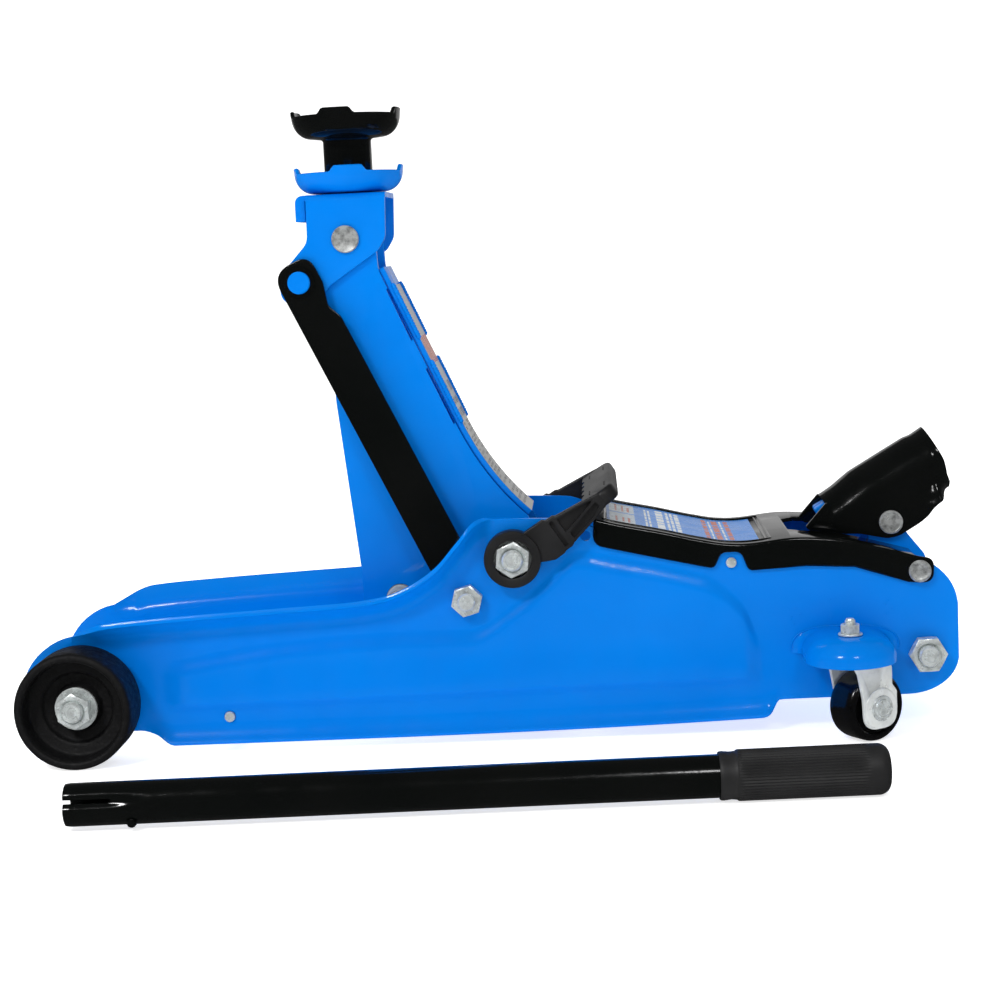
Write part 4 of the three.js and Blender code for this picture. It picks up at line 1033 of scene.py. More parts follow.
def cup(profile, rim, turn):
    """A pressed cup turned about the saddle's axis; its rim drops by TOOTH between four rounded teeth.

    rim is the lowest height that takes part in the drop."""
    top = max(h for _, h in profile)
    rows = []
    for a in circle(160):
        drop = TOOTH * ramp(abs((math.degrees(a) - turn + 45) % 90 - 45), 14, 20.5)
        line = [polar(r, a, h - drop * min(max((h - rim) / (top - rim), 0), 1)) for r, h in profile]
        rows.append([Vector((SADDLE_X, 0, 0)) + p for p in line])
    return grid(rows, closed_u=True)


def saddle_profile(top, foot, depth):
    """A cup's outer wall from its foot radius out and up to the rim, then down inside to its floor."""
    rim, edge = top - TOOTH, SADDLE_RADIUS
    base = rim - depth
    wall = [(foot, base)] + round_corner(20.5, rim - 0.2, 11, depth - 0.6, -88, -4, 14)
    wall += [(edge - 0.4, top - 2.6), (edge - 0.1, top - 0.8), (edge - 0.6, top - 0.15), (edge - 1.4, top)]
    wall += [(edge - 2.3, top - 0.3), (edge - 2.6, top - 1.1)]
    return wall[1:] + round_corner(17, rim - 0.4, 11.7, 6.4, -6, -88, 8), base


def saddles():
    bowl, base = saddle_profile(BLUE_TOP, 13, 12.2)
    neck = [(9.4, 299), (12.4, 299), (13, 299.6), (13, base - 0.2)]
    bore = [(9.8, 321.5), (9.4, 321.1), (9.4, 299)]
    piece("saddle_cup", cup(neck + bowl + bore, BLUE_TOP - 6.5, 5.5), BLUE, "saddle", angle=40)
    bowl, base = saddle_profile(BLACK_TOP, 14, 13.2)
    stem = [(0, 304), (8.4, 304), (9, 304.6), (9, 321.9), (13.4, 321.9), (14, 322.4)]
    stem += [(14, base - 1.6), (14.4, base - 0.7), (15.4, base - 0.2)]
    black_cup = cup(stem + bowl + [(0, 354.5)], BLACK_TOP - 6.5, -4.8)
    piece("extension_saddle", black_cup, BLACK, "extension", angle=40)


def link_bar(name, side):
    line = Vector(HEAD_PIVOT) - Vector(MAIN_PIVOT)
    length, r = line.length, LINK_HALF
    bar = [
        (-r, -r, r), (r, -r, r), (r, length - 28, 4), (r - 3.6, length - 19, 5), (r, length - 6, 5),
        (r, length + r, r), (-r, length + r, r),
    ]
    shape = slab(rounded(bar, 9), -SHEET / 2, SHEET / 2, 0.55)
    lean = (LINK_TOP_Y - LINK_BOTTOM_Y) / length
    for v in shape.verts:
        v.y += side * (LINK_BOTTOM_Y + lean * v.z)
    shape = shape.moved(Matrix.Rotation(math.atan2(line.x, line.y), 4, "Y"))
    shape = shape.moved(Matrix.Translation((LINK_BOLT[0], 0, LINK_BOLT[1])))
    bores = ((LINK_BOLT, 5 + GAP), (LINK_PIN, 5.5 + 2 * GAP))
    cuts = [plug(along_y(at, side), radius, 20, 60) for at, radius in bores]
    piece(f"link_bar_{name}", shape, BLACK, "link_bars", angle=40, cuts=cuts)


head_bracket()
head_pins()
saddles()
for side_name, side_sign in SIDES:
    link_bar(side_name, side_sign)

# ---------------------------------------------------------------- rear cover

COVER_OUTER, COVER_INNER = 56, 53.8
COVER_FRONT, COVER_REAR = 45.5, 228.0
COVER_SHEET = 2.2
FILLET = 6
SLOT_FRONT, SLOT_HALF, SLOT_CORNER = 158, 28, 7
COVER_TOP = (
    (45.5, 127.5), (60, 123.6), (84, 118.3), (106, 112.9), (121, 110.1), (130, 109.6), (160, 112), (180, 110.6),
    (200, 106.4), (228, 98.6),
)
COVER_SKIRT = (
    (45.5, 112, 7), (72, 105.6), (106, 97.6), (113.5, 96, 4), (117.5, 105, 5), (128.5, 105, 5), (132.5, 94, 4),
    (165, 95.4), (192, 93.8), (222, 84, 4), (236.2, 83, 7.5), (236.2, 97, 7.5),
)
LABEL_FROM, LABEL_TO, RECESS = 53, 143, 0.7
BEAD_RADIUS, BEAD_Y, BEAD_SUNK = 0.9, 46.2, 0.35
# Rows of print across the cover's label: where each starts along it, how deep it is, and its colour.
PRINT_ROWS = (
    (0.26, 0.014, LABEL_WHITE), (0.285, 0.014, LABEL_WHITE), (0.34, 0.05, LABEL_WHITE),
    (0.41, 0.018, LABEL_WHITE), (0.44, 0.018, LABEL_WHITE), (0.47, 0.03, LABEL_WHITE),
    (0.66, 0.03, LABEL_RED), (0.705, 0.012, LABEL_WHITE),
    (0.73, 0.04, LABEL_RED), (0.785, 0.012, LABEL_WHITE), (0.815, 0.03, LABEL_RED),
)


def cover_line(lower, x0, x1, count=60):
    return [(x, smooth(COVER_TOP, x) - lower) for x in spread(x0, x1, count)]


def rear_cover():
    skirt = list(COVER_SKIRT) + cover_line(0, COVER_FRONT, COVER_REAR)[::-1][:-1] + [(46.2, 127.3, 2)]
    body = slab(rounded(skirt, 7), -COVER_OUTER, COVER_OUTER, 1.5, 4)
    # Behind x = 226 the roof is open between the two arms.
    under = [(40, 60), (250, 60), (250, 105), (226, 105)] + cover_line(COVER_SHEET, 40, 226)[::-1]
    ends = [(SLOT_FRONT + SLOT_CORNER, SLOT_HALF), (SLOT_FRONT, SLOT_HALF - SLOT_CORNER)]
    slot = [(250, -SLOT_HALF), (250, SLOT_HALF)] + ends + [(x, -y) for x, y in reversed(ends)]
    recess = cover_line(RECESS, LABEL_FROM, LABEL_TO, 40) + [(LABEL_TO, 140), (LABEL_FROM, 140)]
    cuts = [
        slab(under, -COVER_INNER, COVER_INNER), flat_slab(rounded([(x, y, 3) for x, y in slot], 5), 70, 130),
        slab(recess, -45, 45),
    ]
    for at, radius in ((COVER_ROD, 4.5), (COVER_PIN, 4.4)):
        cuts += [hole(at, radius, side, 40) for _, side in SIDES]
    piece("rear_cover", body, BLACK, "frame", angle=30, bevel=0.35, cuts=cuts)
    beads = []
    for _, side in SIDES:
        line = cover_line(BEAD_SUNK, LABEL_FROM - 2, LABEL_TO + 3, 40)
        beads.append([Vector((x, side * BEAD_Y, z)) for x, z in line])
    x, z = line[-1]
    beads.append([Vector((x, y, z)) for y in spread(-BEAD_Y, BEAD_Y, 12)])
    piece("cover_beads", join(*[tube_along(b, BEAD_RADIUS, 10) for b in beads]), BLACK, "frame", angle=60)


def cover_label_surface(u, v, h):
    x = LABEL_FROM + 1 + (LABEL_TO - LABEL_FROM - 4) * u
    return Vector((x, -44 + 88 * v, smooth(COVER_TOP, x) - RECESS + 0.02 + h))


def cover_label_blocks():
    draw = random.Random(8)
    blocks = [LABEL_BLUE, (0.02, 0.19, 0.05, 0.5, LABEL_BASE), (0.02, 0.19, 0.54, 0.95, LABEL_BASE)]
    for k in range(3):
        for v in (0.1, 0.6):
            blocks.append((0.05 + 0.045 * k, 0.075 + 0.045 * k, v, v + draw.uniform(0.2, 0.32), LABEL_RED))
    for u, deep, material in PRINT_ROWS:
        v = 0.08
        while v < 0.86:
            reach = draw.choice((0.08, 0.13, 0.19))
            blocks.append((u, u + deep, v, min(v + reach, 0.92), material))
            v += reach + 0.03
    return blocks


rear_cover()
label("cover_label", cover_label_surface, 40, cover_label_blocks(), "frame")

# ---------------------------------------------------------------- front wheels

WHEEL_INNER_Y, WHEEL_OUTER_Y = 57, 87


def front_wheel(name, side):
    """A cast wheel: its dished profile turned about the axle, with uneven flat faces."""
    o, i = WHEEL_OUTER_Y, WHEEL_INNER_Y
    profile = [
        (BAR_BORE, i - 2), (13.6, i - 2), (14.4, i - 1.4), (15, i), (24, i + 0.6), (30.6, i), (32.4, i + 0.6),
        (33.3, i + 2), (33.5, i + 4), (33.5, i + 11), (33.5, i + 19), (33.5, o - 5), (33.4, o - 2.6),
        (32.9, o - 1), (31.9, o - 0.15), (30.4, o), (29.4, o - 0.2),
        (28.8, o - 1), (28.3, o - 5), (27.8, o - 11),
        (27.2, o - 12.3), (26, o - 12.8), (22, o - 13.2), (20.9, o - 13.6), (20.4, o - 14.6), (19.9, o - 16),
        (18.8, o - 16.7), (14.2, o - 17), (13.5, o - 16.2), (13, o - 13.4), (12.6, 74.1), (BAR_BORE, 74.1),
    ]
    rows = []
    at = along_y(FRONT_AXLE, side)
    for a in circle(120):
        line = []
        for r, h in profile:
            spot = polar(r, a, h) * 0.45
            rough = noise.noise(spot) * 0.5 + noise.noise(spot * 2.7) * 0.3
            flat = 0.0 if r < 7 or r > 33.3 else 0.34
            line.append(at @ polar(r - 0.1 * abs(rough), a, h + flat * (rough - 0.2)))
        rows.append(line)
    wheel = f"front_wheel_{name}"
    piece(wheel, grid(rows, closed_u=True, closed_v=True), CAST, wheel, angle=50)


# ---------------------------------------------------------------- casters

SHELF_WALL = PLATE_OUTER + 0.2
SHELF_BEND = 15
FORK_TOP = 54


def shelf_flare(p, z):
    """How far the shelf's skin spreads and rises where it meets the plate, as shares of its fillet."""
    return ramp(p, SHELF_RADIUS - 14, SHELF_RADIUS), 0.1 * ramp(z, SHELF_LIP + 2, SHELF_TOP - 3)


def caster_shelf(name, side):
    """The pressed shelf that holds a caster: half a dome, running back to the side plate."""
    r, top, lip = SHELF_RADIUS, SHELF_TOP, SHELF_LIP
    profile = [(r - 0.5, SHELF_BOTTOM), (r - 0.1, SHELF_BOTTOM + 0.3), (r, lip)]
    profile += round_corner(r - SHELF_BEND, lip, SHELF_BEND, top - lip, 8, 86, 14) + [(r - 18, top), (3.4, top)]
    profile += [(3.4, top - 2.5), (r - 17, top - 2.6)]
    profile += round_corner(r - SHELF_BEND, lip - 0.5, SHELF_BEND - 2.5, 9.4, 84, 6, 10)
    profile += [(r - 2.5, lip - 1), (r - 2.5, SHELF_BOTTOM + 0.3), (r - 2, SHELF_BOTTOM)]
    wall, middle = side * SHELF_WALL, side * CASTER_Y

    def station(y, ax, ay, flare):
        line = []
        for p, z in profile:
            out, up = shelf_flare(p, z)
            reach = p + flare * out
            line.append(Vector((CASTER_X + reach * ax, y + reach * ay, z + flare * up)))
        return line

    # Straight stretches run from the plate, where they flare, to the middle of the dome, whose outer half turns
    # about the king bolt.
    straight = []
    for off in [0, 0.3, 0.8, 1.5, 2.4, 3.5, 5, 6.5, FILLET] + spread(FILLET + 3, CASTER_Y - SHELF_WALL, 6):
        straight.append((wall + side * off, FILLET - math.sqrt(FILLET**2 - max(FILLET - off, 0) ** 2)))
    rows = [station(y, -1, 0, flare) for y, flare in straight[:-1]]
    rows += [station(middle, -math.cos(a), side * math.sin(a), 0) for a in spread(0, math.pi, 48)]
    rows += [station(y, 1, 0, flare) for y, flare in straight[-2::-1]]
    shape = grid(rows, closed_v=True).lidded(len(profile))
    # The middle strip between the two straight stretches, over the bolt's own line.
    strip = box_shape(CASTER_X - 3.6, CASTER_X + 3.6, *sorted((wall, middle - side * 3.3)), top - 2.5, top)
    piece(f"caster_bracket_{name}", join(shape, strip), BLUE, "frame", angle=40)


def shelf_weld(name, side):
    """The bead where the shelf meets the plate, and spatter on the plate above it."""
    reach = FILLET - 0.6
    y = side * (SHELF_WALL + 0.2)
    edge = [Vector((CASTER_X - SHELF_RADIUS - reach, y, SHELF_BOTTOM + 1))]
    bend = round_corner(SHELF_RADIUS - SHELF_BEND, SHELF_LIP, SHELF_BEND, SHELF_TOP - SHELF_LIP, 8, 86, 10)
    for p, z in bend:
        out, up = shelf_flare(p, z)
        edge.append(Vector((CASTER_X - p - reach * out, y, z + reach * up)))
    edge += [Vector((2 * CASTER_X - p.x, p.y, p.z)) for p in edge[::-1]]
    shapes = [weld_bead(edge, 0.5, 31 + side)]
    draw = random.Random(21 + side)
    for _ in range(26):
        at = CASTER_X + draw.uniform(-36, 30), SHELF_TOP + draw.uniform(2, 16)
        size = draw.uniform(0.18, 0.5)
        on_plate = along_y(at, side) @ Matrix.Translation((0, 0, PLATE_OUTER - 0.05))
        shapes.append(lathe([(0, 0), (size, 0.02), (size * 0.8, size * 0.5), (0, size * 0.8)], on_plate, 8))
    piece(f"caster_weld_{name}", join(*shapes), BLUE, "frame", angle=70)


def spiral_mark(at, distance):
    """The mark a riveting tool leaves: a low spiral ridge on the rivet's face."""
    return tube_along([at @ polar(0.12 * a, a + 2, distance) for a in spread(2, 22, 60)], 0.16, 6)


def caster_fork(name, place, wheel_at, inner, outer):
    """Two legs with a pressed boss round the rivet, under a crown bent from the same sheet."""
    outline = [
        (-9, FORK_TOP, 2), (-9, 46, 4), (-5.5, 40, 4), (-2.5, 26, 4), (-1.6, 8, 11.5), (21.6, 8, 11.5),
        (21.6, 28, 4), (18.4, 32, 2), (18.4, 42, 3), (13, 48, 3), (12, FORK_TOP, 2),
    ]
    outline = rounded(outline, 10)
    bend = 2.2
    section = [(-outer, FORK_TOP - bend - 2)]
    for a in spread(0, math.pi / 2, 5):
        section.append((-outer + bend * (1 - math.cos(a)), FORK_TOP - bend * (1 - math.sin(a))))
    section += [(-y, z) for y, z in section[::-1]]
    section += [(inner, FORK_TOP - bend - 2), (inner, 52), (-inner, 52), (-inner, FORK_TOP - bend - 2)]
    boss = [(11.4, -0.1), (11.2, 0.3), (10.6, 0.62), (9.8, 0.7), (0, 0.7)]
    boss = [(r, outer + h) for r, h in boss]
    shape = join(
        slab(outline, -outer, -inner, 0.4), slab(outline, inner, outer, 0.4),
        cross_slab(section, -9, 12.5, 0.3), both_ends(boss, wheel_at, 56),
    )
    cuts = [plug(along_z(0, 0), 3.4, 40, 60, 40), plug(along_y(wheel_at), 3.4, -20, 20, 40)]
    piece(f"caster_fork_{name}", shape, FORK, f"caster_{name}", angle=35, matrix=place, cuts=cuts)


def caster(name, side):
    turn = Matrix.Rotation(math.radians(CASTER_TURN[name]), 4, "Z")
    place = Matrix.Translation((CASTER_X, side * CASTER_Y, 0)) @ turn
    wheel_at = (CASTER_TRAIL, CASTER_RADIUS)
    half = CASTER_WIDTH / 2
    face = half + 2.8
    caster_fork(name, place, wheel_at, half + 0.8, face)
    head = [(3, 0.75), (7.2, 0.75), (7.2, 1.1), (6.8, 1.4), (5.2, 1.4), (5, 1.9), (4.6, 2), (4.2, 1.7)]
    head = [(3, 0)] + [(r, face + h) for r, h in head + [(1.2, 1.75), (0, 1.8)]]
    rivets = []
    for _, end in SIDES:
        at = along_y(wheel_at, end)
        rivets += [lathe(head, at, 48), spiral_mark(at, face + 1.78)]
    piece(f"caster_axle_{name}", join(*rivets), ZINC, f"caster_{name}", matrix=place)
    rim = [
        (3.4, 0), (6.4, 0), (7.2, 0.4), (8, 1.8), (9, 2.6), (13.4, 2.8), (14.4, 2.2), (15.2, 0.4), (16, 0),
        (16.9, 0.1), (18.1, 0.7), (19, 1.9), (19.4, 3.4), (CASTER_RADIUS, 5.4), (CASTER_RADIUS, half),
    ]
    rim = [(r, half - inset) for r, inset in rim]
    rim += [(r, -h) for r, h in rim[::-1][1:]]
    wheel = f"caster_wheel_{name}"
    piece(wheel, lathe(rim, along_y(wheel_at), 96, closed=True), WHEEL, wheel, angle=30, matrix=place)
    bolt_at, z = along_z(CASTER_X, side * CASTER_Y), SHELF_TOP
    head = lathe([(0, 46.5), (5.9, 46.5), (6.5, 47.1), (6.5, 50.8), (6, 51.2), (0, 51.2)], bolt_at, 40)
    piece(f"caster_bolt_{name}", join(head, thread(bolt_at, 3.0, 51, 69.5, 1.0, 24, 0.42)), ZINC, "frame")
    flange = [(3.5, z + 0.35), (6.7, z + 0.35), (6.8, z + 0.8), (6.5, z + 1.3), (5.2, z + 1.6), (3.5, z + 1.6)]
    nut = hex_nut(bolt_at, 10, 3.3, z + 1.4, 66.4, 0.35, both=True)
    piece(f"caster_nut_{name}", join(lathe(flange, bolt_at, 48, closed=True), nut), ZINC, "frame")


for side_name, side_sign in SIDES:
    front_wheel(side_name, side_sign)
    caster_shelf(side_name, side_sign)
    shelf_weld(side_name, side_sign)
    caster(side_name, side_sign)

# ---------------------------------------------------------------- power unit

TUBE_RADIUS, TUBE_BORE, TUBE_FROM, TUBE_TO, TUBE_COLLAR = 24, 19, 82, 193, 12
RAM_RADIUS, RAM_LENGTH = 8, 122
RAM_VECTOR = Vector((RAM_PIVOT[0] - REAR_BOLT[0], 0, RAM_PIVOT[1] - REAR_BOLT[1]))
ON_RAM = along((REAR_BOLT[0], 0, REAR_BOLT[1]), RAM_VECTOR)
SPRING_REAR = (170, 52)
SPRING_Y = 35
COIL_RADIUS, COIL_TURNS, WIRE = 4.1, 58, 0.75
EYE_LONG, EYE_WIDE = 6.5, 5.3
STUD_RADIUS = 3.4


def cylinder_and_ram():
    r, bore, start, end = TUBE_RADIUS, TUBE_BORE, TUBE_FROM, TUBE_TO
    collar = end - TUBE_COLLAR
    tube = [
        (0, start), (r - 1, start), (r, start + 1), (r, collar), (r + 1.4, collar), (r + 2, collar + 0.7),
        (r + 2, end - 0.8), (r + 1.3, end), (bore + 1, end), (bore, end - 1),
        (bore, start + 12), (0, start + 12),
    ]
    piece("reservoir_tube", lathe(tube, ON_RAM, 80), BLUE, "power_unit")
    reach = RAM_VECTOR.length
    start = reach - RAM_LENGTH
    rod = [(0, start), (RAM_RADIUS - 1, start), (RAM_RADIUS, start + 1), (RAM_RADIUS, reach - 14)]
    eye = [(10.9, -15), (16.2, -15), (17, -14.2), (17, 14.2), (16.2, 15), (10.9, 15)]
    shape = join(lathe(rod, ON_RAM, 64), lathe(eye, along_y(RAM_PIVOT), 72, closed=True))
    piece("ram_rod", shape, CHROME, "ram")


def spring(name, side):
    """A tension spring from the pump block's lug to the ram pin's stud, with a hook at each end."""
    rear = Vector((SPRING_REAR[0], side * SPRING_Y, SPRING_REAR[1]))
    front = Vector((RAM_PIVOT[0], side * SPRING_Y, RAM_PIVOT[1]))
    line = (front - rear).normalized()
    at = along(rear, line)
    length = (front - rear).length
    coil_from, coil_to = 13.0, length - 14.0
    path = []
    for t in spread(0, 1, COIL_TURNS * 14 + 1):
        turned = 2 * math.pi * COIL_TURNS * t
        path.append(at @ polar(COIL_RADIUS, turned, coil_from + (coil_to - coil_from) * t))
    hooks = []
    for centre, start, way in ((0.0, coil_from, -1), (length, coil_to, 1)):
        eye = [Vector((COIL_RADIUS, 0, start)), Vector((COIL_RADIUS * 0.45, 0, start + way * 3))]
        for a in spread(-math.pi * 0.5, math.pi * 1.15, 22):
            eye.append(Vector((0.2, EYE_WIDE * math.cos(a), centre + way * EYE_LONG * math.sin(a))))
        hooks.append(tube_along([at @ p for p in eye], WIRE, 8))
    shape = join(tube_along(path, WIRE, 7), *hooks)
    coil = piece(f"return_spring_{name}", shape, STEEL, "power_unit", angle=60)
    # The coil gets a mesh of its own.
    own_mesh(coil)
    neck = [(STUD_RADIUS, 37.4)]
    lug = [(0, 27), (STUD_RADIUS, 27)] + neck + [(4.8, 37.4), (5, 37.8), (5, 38.8), (4.6, 39.2), (0, 39.2)]
    piece(f"spring_lug_{name}", lathe(lug, along_y(SPRING_REAR, side), 40), ZINC, "power_unit")
    stud = [(0, 25), (STUD_RADIUS, 25)] + neck + [(5.2, 37.4), (5.4, 37.8), (5.4, 38.6), (5, 39), (0, 39)]
    piece(f"spring_stud_{name}", lathe(stud, along_y(RAM_PIVOT, side), 40), ZINC, "lift_arm")


cylinder_and_ram()
for side_name, side_sign in SIDES:
    spring(side_name, side_sign)
plunger = [(0, 64), (5.4, 64), (6, 64.6), (6, 99), (5, 100), (0, 100)]
piece("pump_plunger", lathe(plunger, along_z(224, 0), 56), CHROME, "plunger")

# ---------------------------------------------------------------- handle socket

SOCKET_MOUTH = Vector((244, 0, 147.5))
RISE = math.radians(30)
SOCKET_LINE = Vector((math.cos(RISE), 0, math.sin(RISE)))
SOCKET_UP = Vector((-math.sin(RISE), 0, math.cos(RISE)))
# Carries a shape drawn with X along the socket and Z up across it.
ALONG_SOCKET = Matrix((SOCKET_LINE, Vector((0, 1, 0)), SOCKET_UP)).transposed().to_4x4()
# Heights of the channel's top and lower edge above the socket's axis, by distance from the mouth.
SOCKET_TOP = ((-66, 16.2), (-58, 16.6), (-50, 17.8), (-43, 18.7), (-12, 18.8), (-7, 18.0), (0, 18.4))
SOCKET_LOW = (
    (-66, -7.4), (-58, -12.5), (-51.4, -18.4), (-45, -23.4), (-38, -25.2), (-28.6, -25.2),
    (-21, -24.4), (-14, -22), (-9.8, -21.4), (-4, -21.2), (0, -20.2),
)
# How far the mouth reaches past its lowest point, by height.
MOUTH_LEAN = (
    (-20.5, 0), (-18, 0.6), (-15, 1.7), (-10.6, 2.1), (-7.3, 3), (-3.7, 4), (0, 4.7), (10, 5), (20, 5.2),
)
SOCKET_HALF, SOCKET_SHEET = 22.5, 2.6
PINCH = (-9.5, -9.5)


def socket_section(d, thin):
    """Half of the pressed channel's section at distance d: (Y, height) from its top to its lower edge.

    Near the mouth the sides close into a ring below; thin is how far inside the outer face the line runs."""
    top, low = smooth(SOCKET_TOP, d) - thin, smooth(SOCKET_LOW, d)
    half = SOCKET_HALF - thin - 1.2 * ramp(d, -5, 0)
    closed = ramp(d, -9, -1)
    line = [(half * math.sin(a), top * math.cos(a)) for a in spread(0, math.pi / 2, 20)]
    for t in [k / 30 for k in range(1, 31)]:
        a = math.pi / 2 * (1 + t * 0.97)
        ring = Vector((half * math.sin(a), (19.9 - thin) * math.cos(a)))
        p = Vector((half, low * t)).lerp(ring, closed)
        near = math.hypot(d - PINCH[0], p.y - PINCH[1])
        p.x -= 2.4 * math.exp(-((near / 4.2) ** 2)) + 1.7 * math.exp(-((near / 10.5) ** 6)) * (1 - closed * 0.3)
        line.append((max(p.x, 0.12), p.y))
    return line


def handle_socket():
    rows = []
    for d in spread(0, -22, 34) + spread(-23.5, -66, 28):
        outer, inner = socket_section(d, 0), socket_section(d, SOCKET_SHEET)
        loop = [(-y, u) for y, u in reversed(outer[1:])] + outer + inner[::-1] + [(-y, u) for y, u in inner[1:]]
        row = []
        for y, u in loop:
            out = d + ramp(d, -34, 0) * smooth(MOUTH_LEAN, u)
            row.append(SOCKET_MOUTH + SOCKET_LINE * out + SOCKET_UP * u + Vector((0, y, 0)))
        rows.append(row)
    channel = grid(rows, closed_v=True).laced(len(rows[0]))
    tip = [(180.9, 126.4), (180.2, 126.2, 2), (168.5, 113, 1), (172, 109.5, 2), (190.5, 108.2), (191.2, 108.4)]
    inner = SOCKET_HALF - SOCKET_SHEET
    tips = [slab(rounded(tip, 4), *sorted((side * inner, side * SOCKET_HALF)), 0.3) for _, side in SIDES]
    bore = plug(along_y(SOCKET_PIVOT), 5.4, -60, 60)
    piece("handle_socket", channel, BLACK, "socket", angle=35, cuts=[bore], adds=tips)
    pin = [(5, 0), (5, 22.9), (6.4, 23), (6.8, 23.4), (6.8, 24.8), (6.4, 25.3), (5.7, 25.4)]
    pin += [(5.3, 25.1), (0, 25.05)]
    piece("socket_pin", both_ends(pin, SOCKET_PIVOT, 64), PIN, "socket")


def release_key():
    key = slab(rounded([(-73, -5.6, 1.5), (-63, -5.6, 1.5), (-63, 11.6, 2), (-73, 11.6, 2)], 4), -7.7, 7.7, 0.8)
    at = Matrix.Translation(SOCKET_MOUTH) @ ALONG_SOCKET
    piece("release_key", key, BLUE, "release", matrix=at, cuts=[box_shape(-75, -67, -1.3, 1.3, 0, 14)])
    shaft = [(0, -64), (5, -64), (5, -44.8), (4.2, -44), (0, -44)]
    piece("release_shaft", lathe(shaft, Matrix.Rotation(math.pi / 2, 4, "Y"), 40), BLUE, "release", matrix=at)


handle_socket()
release_key()

# ---------------------------------------------------------------- carrying handle

CARRY_RISE, CARRY_REACH, GRIP_BACK, GRIP_ROUND = 32.5, 70, 49, 16
# Drawn flat, with +X from the main pivot to the grip and +Z across it.
ON_CARRY = Matrix.Rotation(-math.radians(CARRY_RISE), 4, "Y")
ON_CARRY = Matrix.Translation((MAIN_PIVOT[0], 0, MAIN_PIVOT[1])) @ ON_CARRY
CARRY_POCKETS = (
    ((33.5, -4.4, 0.8), (33.5, 4.6, 0.8), (51, 3.2, 1.2), (57, 2, 1)),
    ((35.5, -10, 0.8), (35.5, -5.9, 0.8), (57, 0.4, 1), (57.5, -3, 1), (51, -6.2, 2)),
    ((28.6, -11, 0.6), (28.6, 5.4, 0.6), (31, 5.4, 0.6), (31, -11, 0.6)),
)


def carry_handle():
    web = [
        (9, 9, 1), (26, 8.8, 0.8), (27.5, 7.4, 0.8), (32, 7.4, 0.8), (33.5, 6.4, 1), (52, 4.6, 8),
        (CARRY_REACH - 9, 3.6, 1.5), (CARRY_REACH - 9, -5, 1.5), (52, -7.6, 8), (34, -12, 1), (32.4, -13, 0.8),
        (28, -13, 0.8), (26.4, -13.8, 0.8), (20, -14, 2), (9, -9, 1),
    ]
    ring = [(16.2, 54.6), (16.2, 63.4), (15.8, 64.1), (15.1, 64.2), (11.6, 64.2), (10.9, 63.9), (10.8, 63.2)]
    ring += [(10.8, 61), (11.7, 60), (11.7, 53.8), (15.4, 53.8)]
    adds, cuts = [], []
    for _, side in SIDES:
        adds.append(slab(rounded(web, 5), *sorted((side * 57, side * 63)), 0.7))
        adds.append(lathe(ring, along_y((0, 0), side), 80, closed=True))
        cuts.append(plug(along_y((0, 0), side), 10.8, 50, 70, 80))
        cuts += [slab(rounded(pocket, 3), *sorted((side * 60.8, side * 66))) for pocket in CARRY_POCKETS]
    plan = [(GRIP_BACK, -62.9), (CARRY_REACH, -62.9, GRIP_ROUND)]
    plan += [(CARRY_REACH, 62.9, GRIP_ROUND), (GRIP_BACK, 62.9)]
    cuts += [plug(along_z(GRIP_BACK - 9.3, y), 12, -12, 12, 56) for y in (-31.5, -10.5, 10.5, 31.5)]
    # Short anti-slip bars along the grip's two long edges.
    for y in (-44, -38, -32, 32, 38, 44):
        for x in (GRIP_BACK + 6, CARRY_REACH - 5):
            bar = [(x, y - 1.6, 0.3), (x + 0.8, y - 1.6, 0.3), (x + 0.8, y + 1.6, 0.3), (x, y + 1.6, 0.3)]
            adds.append(flat_slab(rounded(bar, 2), 3, 4.0))
    grip = flat_slab(rounded(plan, 12), -5.1, 3.7, 2.2)
    piece("carry_handle", grip, PLASTIC, "carry_handle", angle=35, cuts=cuts, adds=adds, matrix=ON_CARRY)


carry_handle()

# ---------------------------------------------------------------- pump handle on the floor

HANDLE = Matrix.Translation((*HANDLE_MIDDLE, 0)) @ Matrix.Rotation(math.radians(HANDLE_YAW), 4, "Z")
# Turned shapes on the handle: X up, Y towards the viewer's side (-Y), distance along +X.
ON_HANDLE = Matrix(((0, 0, 1, 0), (0, -1, 0, 0), (1, 0, 0, 0), (0, 0, 0, 1)))
ON_HANDLE = Matrix.Translation((0, 0, GRIP_RADIUS)) @ ON_HANDLE
HANDLE_RADIUS, HANDLE_BORE = 11, 8.8
HANDLE_FRONT, HANDLE_BACK, GRIP_FROM = -208.6, 206.2, 129.5
SLOT_LENGTH = 24
SLOT_LOW, SLOT_HIGH = GRIP_RADIUS + 2.2, GRIP_RADIUS + 4.6
SLOT_ANGLE = 72
FLUTES, STEPS_PER_FLUTE, FLUTE_DEPTH = 50, 6, 0.5


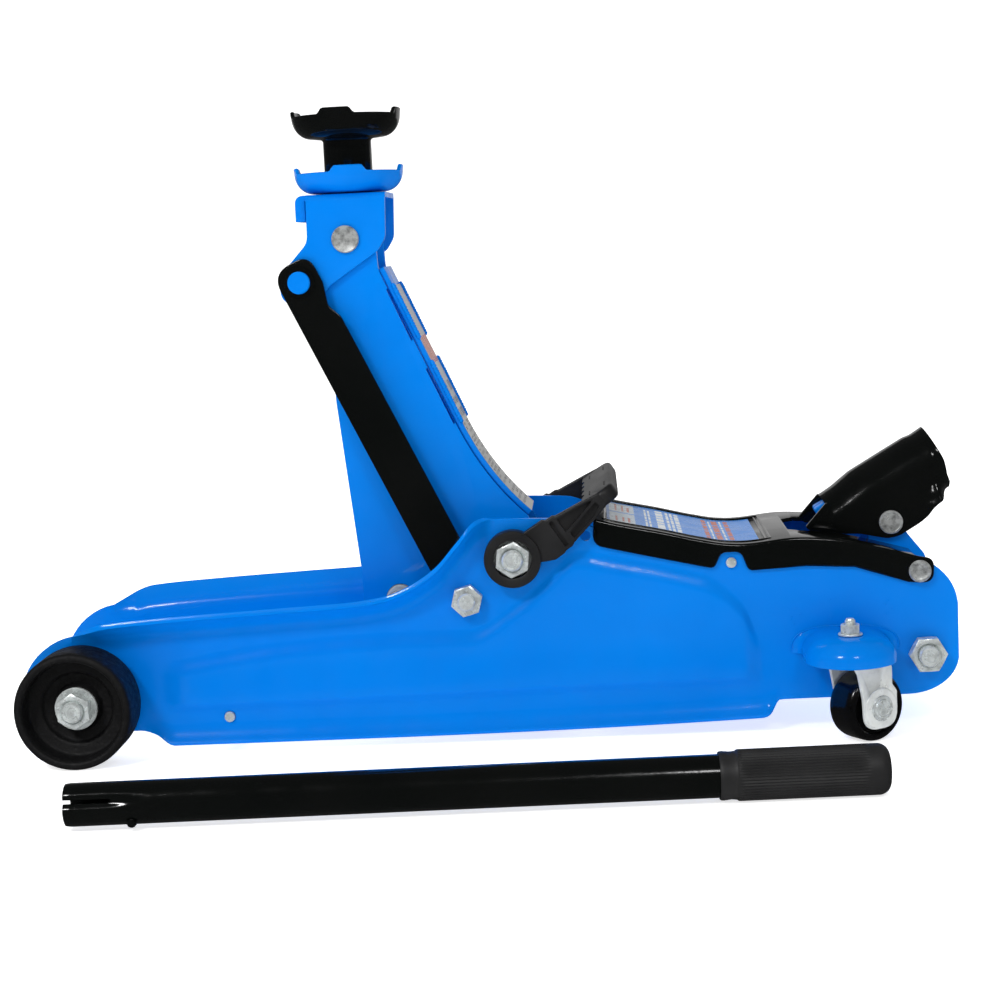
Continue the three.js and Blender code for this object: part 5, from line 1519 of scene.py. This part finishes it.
def handle_tube():
    """The tube, its front end slotted and pulled in along both slots."""
    front, slot_end = HANDLE_FRONT, HANDLE_FRONT + SLOT_LENGTH
    stations = spread(front, front + 60, 41) + spread(front + 66, GRIP_FROM + 30, 14)
    rows = []
    for a in circle(144):
        outer, inner = [], []
        for d in stations:
            fade = 1 - ramp(d, slot_end - 4, slot_end + 22)
            pull = 0.0
            for at_angle in (SLOT_ANGLE, -SLOT_ANGLE):
                across = (math.degrees(a) - at_angle + 180) % 360 - 180
                pull += 2.0 * math.exp(-((across / 15) ** 2)) * fade
            lip = 0.35 * ramp(-d, -front - 2.5, -front)
            outer.append(ON_HANDLE @ polar(HANDLE_RADIUS - pull - lip, a, d))
            inner.append(ON_HANDLE @ polar(HANDLE_BORE - pull, a, d))
        rows.append(outer + inner[::-1])
    slot = [(front - 2, SLOT_LOW), (front - 2, SLOT_HIGH)]
    slot += [(slot_end, SLOT_HIGH, 1.15), (slot_end, SLOT_LOW, 1.15)]
    piece(
        "handle_tube", grid(rows, closed_u=True, closed_v=True), BLACK, "handle", angle=35, matrix=HANDLE,
        cuts=[slab(rounded(slot, 6), -30, 30)],
    )


def handle_button():
    """The detent button that stands out of the tube, down and towards the viewer's side."""
    out = Vector((0, -1, -1)).normalized()
    at = along(Vector((HANDLE_FRONT + 34, 0, GRIP_RADIUS)) + out * 4.2, out)
    knob = [(0, 0), (2, 0), (2, 7.2), (2.6, 7.4), (2.6, 8.2), (2.0, 8.5), (2.0, 9.2), (1.5, 9.6), (0.8, 9.65)]
    knob += [(0.7, 9.3), (0, 9.3)]
    piece("handle_button", lathe(knob, at, 40), BLACK, "button", matrix=HANDLE)


def handle_grip():
    """The fluted grip, with a plain stripe along its lower side, a collar in front and a rounded end."""
    start, end = GRIP_FROM, HANDLE_BACK
    profile = [
        (11.4, start - 9), (11.9, start - 9), (12.3, start - 8.4), (12.4, start - 7), (12.2, start - 5),
        (12.0, start - 3.5), (12.1, start - 2), (12.3, start - 0.4), (12.6, start), (12.95, start + 0.4),
    ]
    along_grip = spread(start + 1.4, start + 4, 4) + spread(start + 8, end - 16, 8)
    along_grip += spread(end - 13, end - 8, 6)
    profile += [(GRIP_RADIUS, d) for d in along_grip]
    for b in spread(0.12, math.pi / 2, 9):
        profile.append((GRIP_RADIUS - 5.2 * (1 - math.cos(b)), end - 6 + 6 * math.sin(b)))
    profile += [(5, end - 0.02), (0, end)]
    rows = []
    for k, a in enumerate(circle(FLUTES * STEPS_PER_FLUTE)):
        around = ramp(abs(math.degrees(a) % 360 - 180), 30, 38)
        wave = 0.5 - 0.5 * math.cos(2 * math.pi * k / STEPS_PER_FLUTE)
        line = []
        for r, d in profile:
            deep = ramp(d, start + 0.6, start + 2.4) * (1 - ramp(d, end - 13.5, end - 10.5)) * around
            line.append(ON_HANDLE @ polar(r - FLUTE_DEPTH * deep * wave, a, d))
        line += [ON_HANDLE @ Vector((0, 0, start + 32)), ON_HANDLE @ polar(11.4, a, start + 32)]
        rows.append(line)
    piece(
        "handle_grip", grid(rows, closed_u=True, closed_v=True), RUBBER, "handle", angle=40, matrix=HANDLE
    )


handle_tube()
handle_button()
handle_grip()

# ---------------------------------------------------------------- CAD pieces that stay


def dressed(node, material):
    """A CAD node in its own finish, with its flat edges eased by modifiers."""
    obj = NODES[node]
    obj.data.materials.clear()
    obj.data.materials.append(material)
    for f in obj.data.polygons:
        f.use_smooth = False
    weld_near = obj.modifiers.new("weld", "WELD")
    weld_near.merge_threshold = 2e-6
    planes = obj.modifiers.new("planes", "DECIMATE")
    planes.decimate_type = "DISSOLVE"
    planes.angle_limit = math.radians(1)
    ease(obj, 0.5, 40)


for subpart in frame["record"]["subparts"]:
    if not NODES[subpart["node"]].hide_render:
        dressed(subpart["node"], MATERIAL_OF[subpart["material_slot"]])
